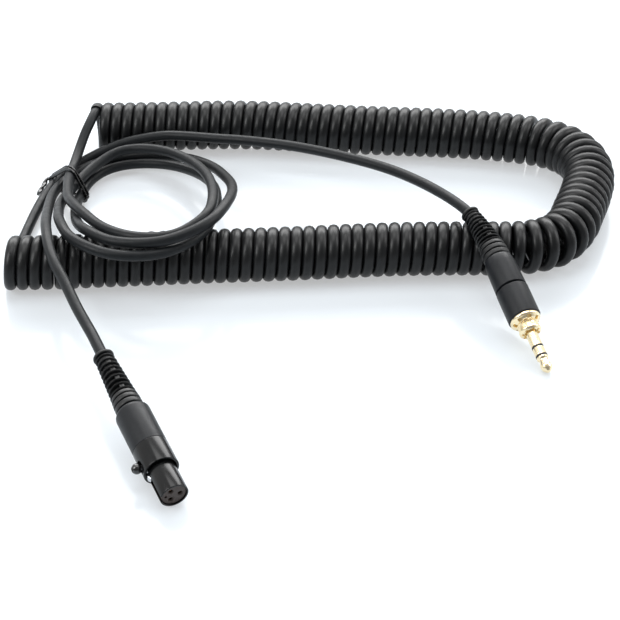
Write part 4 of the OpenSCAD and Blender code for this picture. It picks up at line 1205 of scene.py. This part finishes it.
    def pin(self) -> None:
        """Turns the pin's three contacts and its two dark bands."""
        r, head = self.pin_d / 2, self.end - self.tip_l
        ring1 = head - self.band_l
        ring0 = ring1 - self.ring_l
        sleeve1 = ring0 - self.band_l
        self.keep(lathe("jack_sleeve_turned", [
            (1.4, self.face - 2), (2.95, self.face - 2), (2.95, self.face - 0.5),
            (r - 0.2, self.face - 0.5), (r - 0.2, self.base - 0.8), (r, self.base - 0.8),
            (r, sleeve1, 0.06), (1.4, sleeve1),
        ], PIN_SIDES), GOLD_JACK, "jack_sleeve_contact")
        self.keep(lathe("jack_ring_turned", [
            (0.8, self.face - 7.8), (1.08, self.face - 7.8), (1.08, ring0), (r, ring0, 0.06),
            (r, ring1, 0.06), (0.8, ring1),
        ], PIN_SIDES), GOLD_JACK, "jack_ring_contact")
        self.keep(lathe("jack_tip_turned", [
            (0.0, self.face - 12.5), (0.38, self.face - 12.5), (0.38, head), (r, head, 0.06),
            (r, head + 0.5, 0.12), (r * 0.76, head + 0.95, 0.2), (r * 0.76, head + 1.5, 0.3),
            (r * 0.9, self.end - 2.9, 0.4), (r * 0.97, self.end - 2.3, 0.3),
            (r * 0.97, self.end - 1.9, 0.3), (r * 0.82, self.end - 1.1, 0.2),
            (r * 0.36, self.end - 0.25, 0.25), (0.0, self.end),
        ], PIN_SIDES), GOLD_JACK, "jack_tip_contact")
        for name, at, inner, outer, tail, node in (
            ("jack_sleeve_band", sleeve1, 1.1, 1.38, self.face - 6.7, "jack_sleeve_insulator"),
            ("jack_tip_band", ring1, 0.4, 0.78, self.face - 11.3, "jack_tip_insulator"),
        ):
            self.keep(lathe(name, [
                (inner, tail), (outer, tail), (outer, at), (r - 0.1, at), (r - 0.1, at - 0.08),
                (r + 0.02, at - 0.08, 0.08), (r + 0.02, at + self.band_l + 0.08, 0.08),
                (r - 0.1, at + self.band_l + 0.08), (r - 0.1, at + self.band_l),
                (inner, at + self.band_l),
            ], PIN_SIDES), JACK_NYLON, node)


# ------------------------------------------------------------------ the XLR
@dataclass
class Xlr(Plug):
    """The small XLR socket, drawn along +Z from its boot's small end, latch at +X."""

    boot_l: float = 22.3
    rear_l: float = 14.6
    rear_d: float = 9.9
    sleeve_d: float = 10.0
    sleeve_l: float = 8.2
    wall: float = 0.75
    nose_d: float = 7.9
    nose_l: float = 9.1
    nose_wall: float = 0.5
    key_w: float = 2.0
    contact_r: float = 1.75
    hole_d: float = 1.2
    button_d: float = 3.0
    button_r: float = 5.85
    heading: float = XLR_HEADING
    dip: float = XLR_DIP
    nose_at: Point = (-36.2, -96.5)
    pieces: list[bpy.types.Object] = field(default_factory=list)

    def __post_init__(self) -> None:
        """Works out the stations along the connector and its place."""
        self.sleeve_at = self.boot_l + self.rear_l
        self.rim = self.sleeve_at + self.sleeve_l
        self.end = self.rim + self.nose_l
        self.insert_r = self.nose_d / 2 - self.nose_wall - FIT
        self.spigot_r = self.rear_d / 2 - self.wall - FIT
        self.seat_r = self.sleeve_d / 2 - self.wall - FIT
        self.roll_at, self.roll_h = self.sleeve_at - 0.4, self.insert_r - 0.3
        self.button_at = self.sleeve_at + 5.2
        height = self.nose_d / 2 * math.cos(math.radians(self.dip))
        self.lay(self.nose_at, height, self.end, -90.0)

    def build(self, ribs: Tree) -> None:
        """Builds the connector's pieces with the tree that sets the boot's ribs."""
        boot = Boot("xlr_boot_moulding", self.boot_l, small_d=6.0, big_d=8.1, ribs=9,
                    bands_l=5.3, bead_l=1.1, spigot_l=3.0, spigot_r=3.5, web_turn=90).build(ribs)
        boot.data.transform(Matrix.Translation((0, 0, self.boot_l)))
        self.keep(boot, BOOT_RUBBER, "xlr_boot")
        self.shells()
        self.nose()
        self.latch()

    def shells(self) -> None:
        """Turns the rear housing and the front sleeve with its button hole."""
        b, s, r, bore = self.boot_l, self.sleeve_at, self.rear_d / 2, self.rear_d / 2 - self.wall
        self.keep(lathe("xlr_rear_shell", [
            (3.55, b, 0.1), (r - 1.25, b, 0.3), (r, b + 1.1, 0.8), (r, s - 0.12, 0.1),
            (r - 0.12, s - 0.01), (bore, s - 0.01), (bore, b + 3), (3.55, b + 3),
        ], SHELL_SIDES), HOUSING_COAT, "xlr_rear_housing")
        r, bore, stop = self.sleeve_d / 2, self.sleeve_d / 2 - self.wall, self.insert_r + 0.2
        sleeve = lathe("xlr_front_tube", [
            (stop, s - 2.4), (self.spigot_r, s - 2.4), (self.spigot_r, s + 0.01),
            (r - 0.12, s + 0.01), (r, s + 0.13, 0.1), (r, self.rim, 0.22),
            (bore, self.rim, 0.22), (bore, s + 0.6), (stop, s + 0.6),
        ], SHELL_SIDES)
        mouth = self.button_d / 2 + 0.4
        hole = rod("hole", mouth, 0, 8)
        hole.data.transform(
            Matrix.Translation((0, 0, self.button_at)) @ Matrix.Rotation(math.pi / 2, 4, "Y"))
        keyway = block("keyway", (4, self.key_w + 0.4, 3.4), (2.2, 0, s - 0.9))
        self.keep(cut(sleeve, hole, keyway), SLEEVE_LACQUER, "xlr_front_sleeve")

    def nose(self) -> None:
        """Turns the nose shell with its key slot, and the insert with its holes."""
        s, r, bore = self.sleeve_at, self.nose_d / 2, self.nose_d / 2 - self.nose_wall
        shell_at, hook_end = s + 1.6, self.rim + 2.2
        shell = lathe("xlr_nose_tube", [
            (bore, shell_at), (self.seat_r, shell_at), (self.seat_r, shell_at + 1.5),
            (r - 0.05, shell_at + 1.5), (r - 0.05, hook_end - 0.3), (r, hook_end),
            (r, self.end, 0.2), (bore, self.end, 0.15),
        ], SHELL_SIDES)
        slot = block("slot", (4, self.key_w, 30), (4, 0, self.end - 10))
        self.keep(cut(shell, slot), SLEEVE_LACQUER, "xlr_nose_shell")
        face, back = self.end - 0.35, s - 1.5
        insert = lathe("xlr_insert_moulding", [
            (0, back), (self.insert_r, back), (self.insert_r, s + 0.6), (self.seat_r, s + 0.6),
            (self.seat_r, s + 1.6), (self.insert_r, s + 1.6), (self.insert_r, face, 0.25), (0, face),
        ], 72)
        tools = []
        hole_r, socket_r, lead_in = self.hole_d / 2, 0.825, 0.24
        for a in (180, 60, 300):
            hole = lathe("hole", [
                (0, back - 1), (socket_r, back - 1), (socket_r, face - 0.6), (hole_r, face - 0.6),
                (hole_r, face - 0.3), (hole_r + lead_in, face + 0.02), (hole_r + lead_in, face + 1),
                (0, face + 1),
            ], 40)
            hole.data.transform(Matrix.Rotation(math.radians(a), 4, "Z")
                                @ Matrix.Translation((self.contact_r, 0, 0)))
            tools.append(hole)
        pilot = rod("pilot", 0.4, face - 1.2, face + 1, 24)
        pilot.data.transform(Matrix.Translation((2.3, 0, 0)))
        # Long and deep enough for the lever's hook when it is pressed
        start, stop, floor = self.roll_at - 0.6, self.rim + 2.7, 2.27
        channel = block(
            "channel", (4, self.key_w, stop - start), (floor + 2, 0, (start + stop) / 2))
        self.keep(cut(insert, *tools, pilot, channel), INSERT_RESIN, "xlr_insert")

    def latch(self) -> None:
        """Builds the sprung lever with its hook, and the ball that presses it."""
        inner = self.roll_h + 0.4
        outer, hook = inner + 0.35, self.rim + 0.5
        top = self.sleeve_d / 2 - self.wall + 0.1
        side = [(inner, self.roll_at - 0.1), (inner, hook + 1.6), (outer, hook + 1.6),
                (top - 0.05, hook + 1.05), (top, hook + 0.9), (top, hook), (outer, hook),
                (outer, self.roll_at + 0.1)]
        n, w = len(side), 0.75
        strip = mesh_object(
            "latch_strip", [(x, y, z) for y in (-w, w) for x, z in side],
            [list(range(n)), list(range(2 * n - 1, n - 1, -1)),
             *([(i + 1) % n, i, i + n, (i + 1) % n + n] for i in range(n))])
        bevel = strip.modifiers.new("edges", "BEVEL")
        bevel.width, bevel.segments = 0.07, 2
        baked(strip)
        roll = lathe("roll", [(0, -w), (0.5, -w, 0.08), (0.5, w, 0.08), (0, w)], 32)
        roll.data.transform(Matrix.Translation((self.roll_h, 0, self.roll_at))
                            @ Matrix.Rotation(math.pi / 2, 4, "X"))
        self.keep(joined(strip, roll), LEVER_STEEL, "latch_lever", body=Body.LATCH)
        r, stem_r, stem_top, ball_from = self.button_d / 2, 0.62, -1.25, -1.36
        foot = outer - self.button_r
        # The ball's arc ends 28 degrees from its outer pole, where a cone closes it inwards
        turns = np.radians(np.linspace(152, 0, 28))[::-1]
        ball = [(r * math.sin(w), -r * math.cos(w)) for w in turns if -r * math.cos(w) > ball_from]
        button = lathe("latch_ball", [(0.0, foot), (stem_r, foot), (stem_r, stem_top), *ball], 56)
        button.data.transform(Matrix.Translation((self.button_r, 0, self.button_at))
                              @ Matrix.Rotation(math.pi / 2, 4, "Y"))
        self.keep(button, BUTTON_ABS, "latch_button", body=Body.LATCH)


# ------------------------------------------------------------------ the tie
@dataclass
class Tie:
    """The twist tie: two wraps round the five strands, and a twisted tail."""

    at: Point = (-82.1, 61.2)
    heading: float = 50.0
    width: float = 1.15
    thickness: float = 0.5
    pitch: float = 1.7
    clear: float = 0.15
    # Where the five strands pass, sideways and up, and their slopes sideways and up
    strands: tuple[Point, ...] = (
        (-4.56, 2.56, -0.31, 0.06), (-0.95, 3.62, -0.3, -0.08), (2.82, 8.25, -0.83, -0.27),
        (5.52, 5.66, -0.36, 0.03), (7.59, 2.6, -0.6, -0.07),
    )
    tail_way: tuple[Point, ...] = (
        (-87.7, 65.9, 2.55), (-88.5, 66.1, 2.5), (-89, 65.3, 2.3), (-89.35, 63.4, 2.1),
        (-89.95, 60.6, 1.9), (-90.7, 57.6, 1.8),
    )
    pieces: list[bpy.types.Object] = field(default_factory=list)

    def outline(self, ahead: float) -> list[tuple[float, float]]:
        """Closed line along the middle of a wrap, sideways and up.

        Args:
            ahead: How far the wrap is ahead of the tie's middle.

        Returns:
            The line's points.
        """
        r = WIRE_R + self.clear + self.thickness / 2
        points = sorted({
            (x + dx * a + math.hypot(1, dx) * r * math.cos(w), z + dz * a + r * math.sin(w))
            for x, z, dx, dz in self.strands
            for a in (ahead - self.width * 0.35, ahead + self.width * 0.35)
            for w in np.radians(np.arange(0, 360, 6))
        })

        def half(line: list[tuple[float, float]]) -> list[tuple[float, float]]:
            out: list[tuple[float, float]] = []
            for p in line:
                while len(out) > 1 and (out[-1][0] - out[-2][0]) * (p[1] - out[-2][1]) <= (
                        out[-1][1] - out[-2][1]) * (p[0] - out[-2][0]):
                    out.pop()
                out.append(p)
            return out[:-1]

        return half(points) + half(points[::-1])

    def build(self, strips: Tree) -> None:
        """Builds the wraps and the tail with the tree that sweeps strips."""
        h = math.radians(self.heading)
        side = Vector((math.sin(h), -math.cos(h), 0))
        forward = Vector((math.cos(h), math.sin(h), 0))
        wraps = []
        for offset in (-self.pitch / 2, self.pitch / 2):
            points = [forward * offset + side * x + Vector((0, 0, z))
                      for x, z in self.outline(offset)]
            wrap = line_object("tie_wraps", points, closed=True)
            wraps.append(strips.run(
                wrap, TIE_FILM, Width=self.thickness, Thickness=self.width, Rounding=0.24,
                Twist=0.0))
        place = Matrix.Translation(SHIFT + Vector((*self.at, 0)))
        self.pieces.append(dress(placed(joined(*wraps), place), TIE_FILM, "tie_band"))
        points = spline(self.tail_way, 10) + np.array(SHIFT)
        tail = line_object("tie_tail", points)
        strips.run(tail, TIE_FILM, Width=1.6, Thickness=1.0, Rounding=0.42,
                   Twist=math.radians(420))
        self.pieces.append(dress(placed(tail, Matrix.Identity(4)), TIE_FILM, "tie_twist"))


# ------------------------------------------------------------------ what stays as packed
INNER = {
    "jack_core_insulator": JACK_NYLON,
    "jack_solder_lugs": TIN_PLATE,
    "jack_cable_clamp": TIN_PLATE,
    "jack_conductors": CORE_PVC,
    "xlr_contact_1": GOLD_XLR,
    "xlr_contact_2": GOLD_XLR,
    "xlr_contact_3": GOLD_XLR,
    "xlr_cable_clamp": TIN_PLATE,
    "xlr_conductors": CORE_PVC,
}


def dress_inner() -> None:
    """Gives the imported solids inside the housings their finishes."""
    for name, finish in INNER.items():
        node = frame["nodes"][name]
        node.data.materials.clear()
        node.data.materials.append(finish.material())
        LOG.info("%s stays as packed", name)


# ------------------------------------------------------------------ the studio
@dataclass
class Studio:
    """Camera, lamps, world and the white surface that the cable lies on."""

    eye: Point = (-2.944, -453.491, 312.0)
    pitch: float = 35.0
    focal_px: float = 1803.0
    frame_px: float = 620.0
    # Name, place, the point that it faces, its two sides in metres, and its watts
    lamps: tuple[tuple, ...] = (
        ("left_softbox", (-0.55, -0.25, 0.50), (-0.02, 0.0, 0.0), (0.30, 0.45), 3.0),
        ("right_softbox", (0.70, 0.10, 0.45), (0.05, 0.0, 0.0), (0.35, 0.6), 2.4),
        ("back_softbox", (0.0, 0.75, 0.55), (0.0, 0.02, 0.0), (1.2, 0.5), 12.0),
        ("top_softbox", (0.0, 0.10, 0.95), (0.0, 0.02, 0.0), (0.7, 0.5), 3.5),
    )

    def build(self) -> None:
        """Builds the studio."""
        self.camera()
        self.world()
        self.floor()
        for lamp in self.lamps:
            self.lamp(*lamp)

    def camera(self) -> None:
        """Makes the camera."""
        data = bpy.data.cameras.new("camera")
        data.sensor_width = 36.0
        data.sensor_fit = "HORIZONTAL"
        data.lens = self.focal_px / self.frame_px * 36.0
        data.clip_start, data.clip_end = 0.01, 20.0
        made = bpy.data.objects.new("camera", data)
        made.location = Vector(self.eye) * MM
        made.rotation_euler = (math.radians(90 - self.pitch), 0, 0)
        bpy.context.scene.collection.objects.link(made)
        bpy.context.scene.camera = made

    def lamp(self, name: str, at: Point, to: Point, size: Point, watts: float) -> None:
        """Hangs a rectangular softbox.

        Args:
            name: Its name.
            at: Its middle, in metres.
            to: The point that it faces.
            size: Its two sides.
            watts: Its power.
        """
        data = bpy.data.lights.new(name, "AREA")
        data.shape = "RECTANGLE"
        data.size, data.size_y = size
        data.energy = watts
        made = bpy.data.objects.new(name, data)
        made.location = at
        made.rotation_euler = (Vector(at) - Vector(to)).to_track_quat("Z", "Y").to_euler()
        bpy.context.scene.collection.objects.link(made)

    def seen(self, tree: bpy.types.NodeTree) -> bpy.types.NodeSocket:
        """Gives 1 for the rays that see the background itself, and 0 for those that light."""
        path = add(tree, "ShaderNodeLightPath")
        total = path.outputs["Is Camera Ray"]
        for name in ("Is Glossy Ray", "Is Transmission Ray"):
            total = add(
                tree, "ShaderNodeMath", {"operation": "MAXIMUM"}, {0: total, 1: path.outputs[name]}
            ).outputs[0]
        return total

    def world(self) -> None:
        """Makes the world: white where it is seen, and a dim room that lights.

        What gloss reflects of it is the white sweep behind and above, and the dimmer room
        on the camera's side.
        """
        world = bpy.data.worlds.new("white_studio")
        bpy.context.scene.world = world
        world.use_nodes = True
        tree = world.node_tree
        tree.nodes.clear()
        coords = add(tree, "ShaderNodeTexCoord")
        split = add(tree, "ShaderNodeSeparateXYZ", links={0: coords.outputs["Generated"]})
        path = add(tree, "ShaderNodeLightPath")
        behind = add(
            tree, "ShaderNodeMapRange",
            {"From Min": -0.75, "From Max": 0.25, "To Min": 0.3, "To Max": 1.0},
            {"Value": split.outputs["Y"]})
        bright = add(
            tree, "ShaderNodeMath", {"operation": "MAXIMUM"},
            {0: behind.outputs[0], 1: path.outputs["Is Camera Ray"]})
        shown = add(
            tree, "ShaderNodeBackground", {"Color": linear("#ffffff")},
            {"Strength": bright.outputs[0]})
        lights = add(tree, "ShaderNodeBackground", {"Color": linear("#f4f8ff"), "Strength": 0.35})
        mix = add(
            tree, "ShaderNodeMixShader",
            links={0: self.seen(tree), 1: lights.outputs[0], 2: shown.outputs[0]})
        add(tree, "ShaderNodeOutputWorld", links={0: mix.outputs[0]})

    def floor(self) -> None:
        """Makes the white acrylic surface, which keeps the cable's shadow."""
        floor = mesh_object(
            "floor", [(-4, -4, 0), (4, -4, 0), (4, 6, 0), (-4, 6, 0)], [(0, 1, 2, 3)])
        floor.data.transform(Matrix.Translation((0, 0, -0.00015)))
        material, tree, shader = new_material("white_acrylic_table")
        feed(shader, {
            "Base Color": linear("#dae5ed"), "Roughness": 0.16, "Specular IOR Level": 0.35})
        glow = add(tree, "ShaderNodeEmission", {"Color": linear("#ffffff"), "Strength": 1.0})
        # Far from the cable the surface goes over into the white sweep
        geometry = add(tree, "ShaderNodeNewGeometry")
        away = add(
            tree, "ShaderNodeVectorMath", {"operation": "LENGTH"},
            {0: geometry.outputs["Position"]})
        share = add(
            tree, "ShaderNodeMapRange",
            {"From Min": 0.25, "From Max": 0.8, "To Min": 0.45, "To Max": 1.0},
            {"Value": away.outputs["Value"]})
        amount = add(
            tree, "ShaderNodeMath", {"operation": "MULTIPLY"},
            {0: self.seen(tree), 1: share.outputs[0]})
        mix = add(
            tree, "ShaderNodeMixShader",
            links={0: amount.outputs[0], 1: shader.outputs[0], 2: glow.outputs[0]})
        tree.links.new(mix.outputs[0], tree.nodes["Material Output"].inputs["Surface"])
        floor.data.materials.append(material)


def main() -> None:
    """Builds the whole scene in order."""
    logging.basicConfig(level=logging.INFO, format="%(message)s")
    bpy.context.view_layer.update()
    bpy.context.scene.view_settings.view_transform = "Standard"
    Studio().build()
    route = Route()
    jack, xlr, tie = Jack(), Xlr(), Tie()
    ribs = rib_tree()
    jack.build(ribs, thread_tree(), notch_tree())
    xlr.build(ribs)
    tie.build(strip_tree())
    Cords(route, jack, xlr, tie).build()
    dress_inner()


if __name__ == "__main__":
    main()
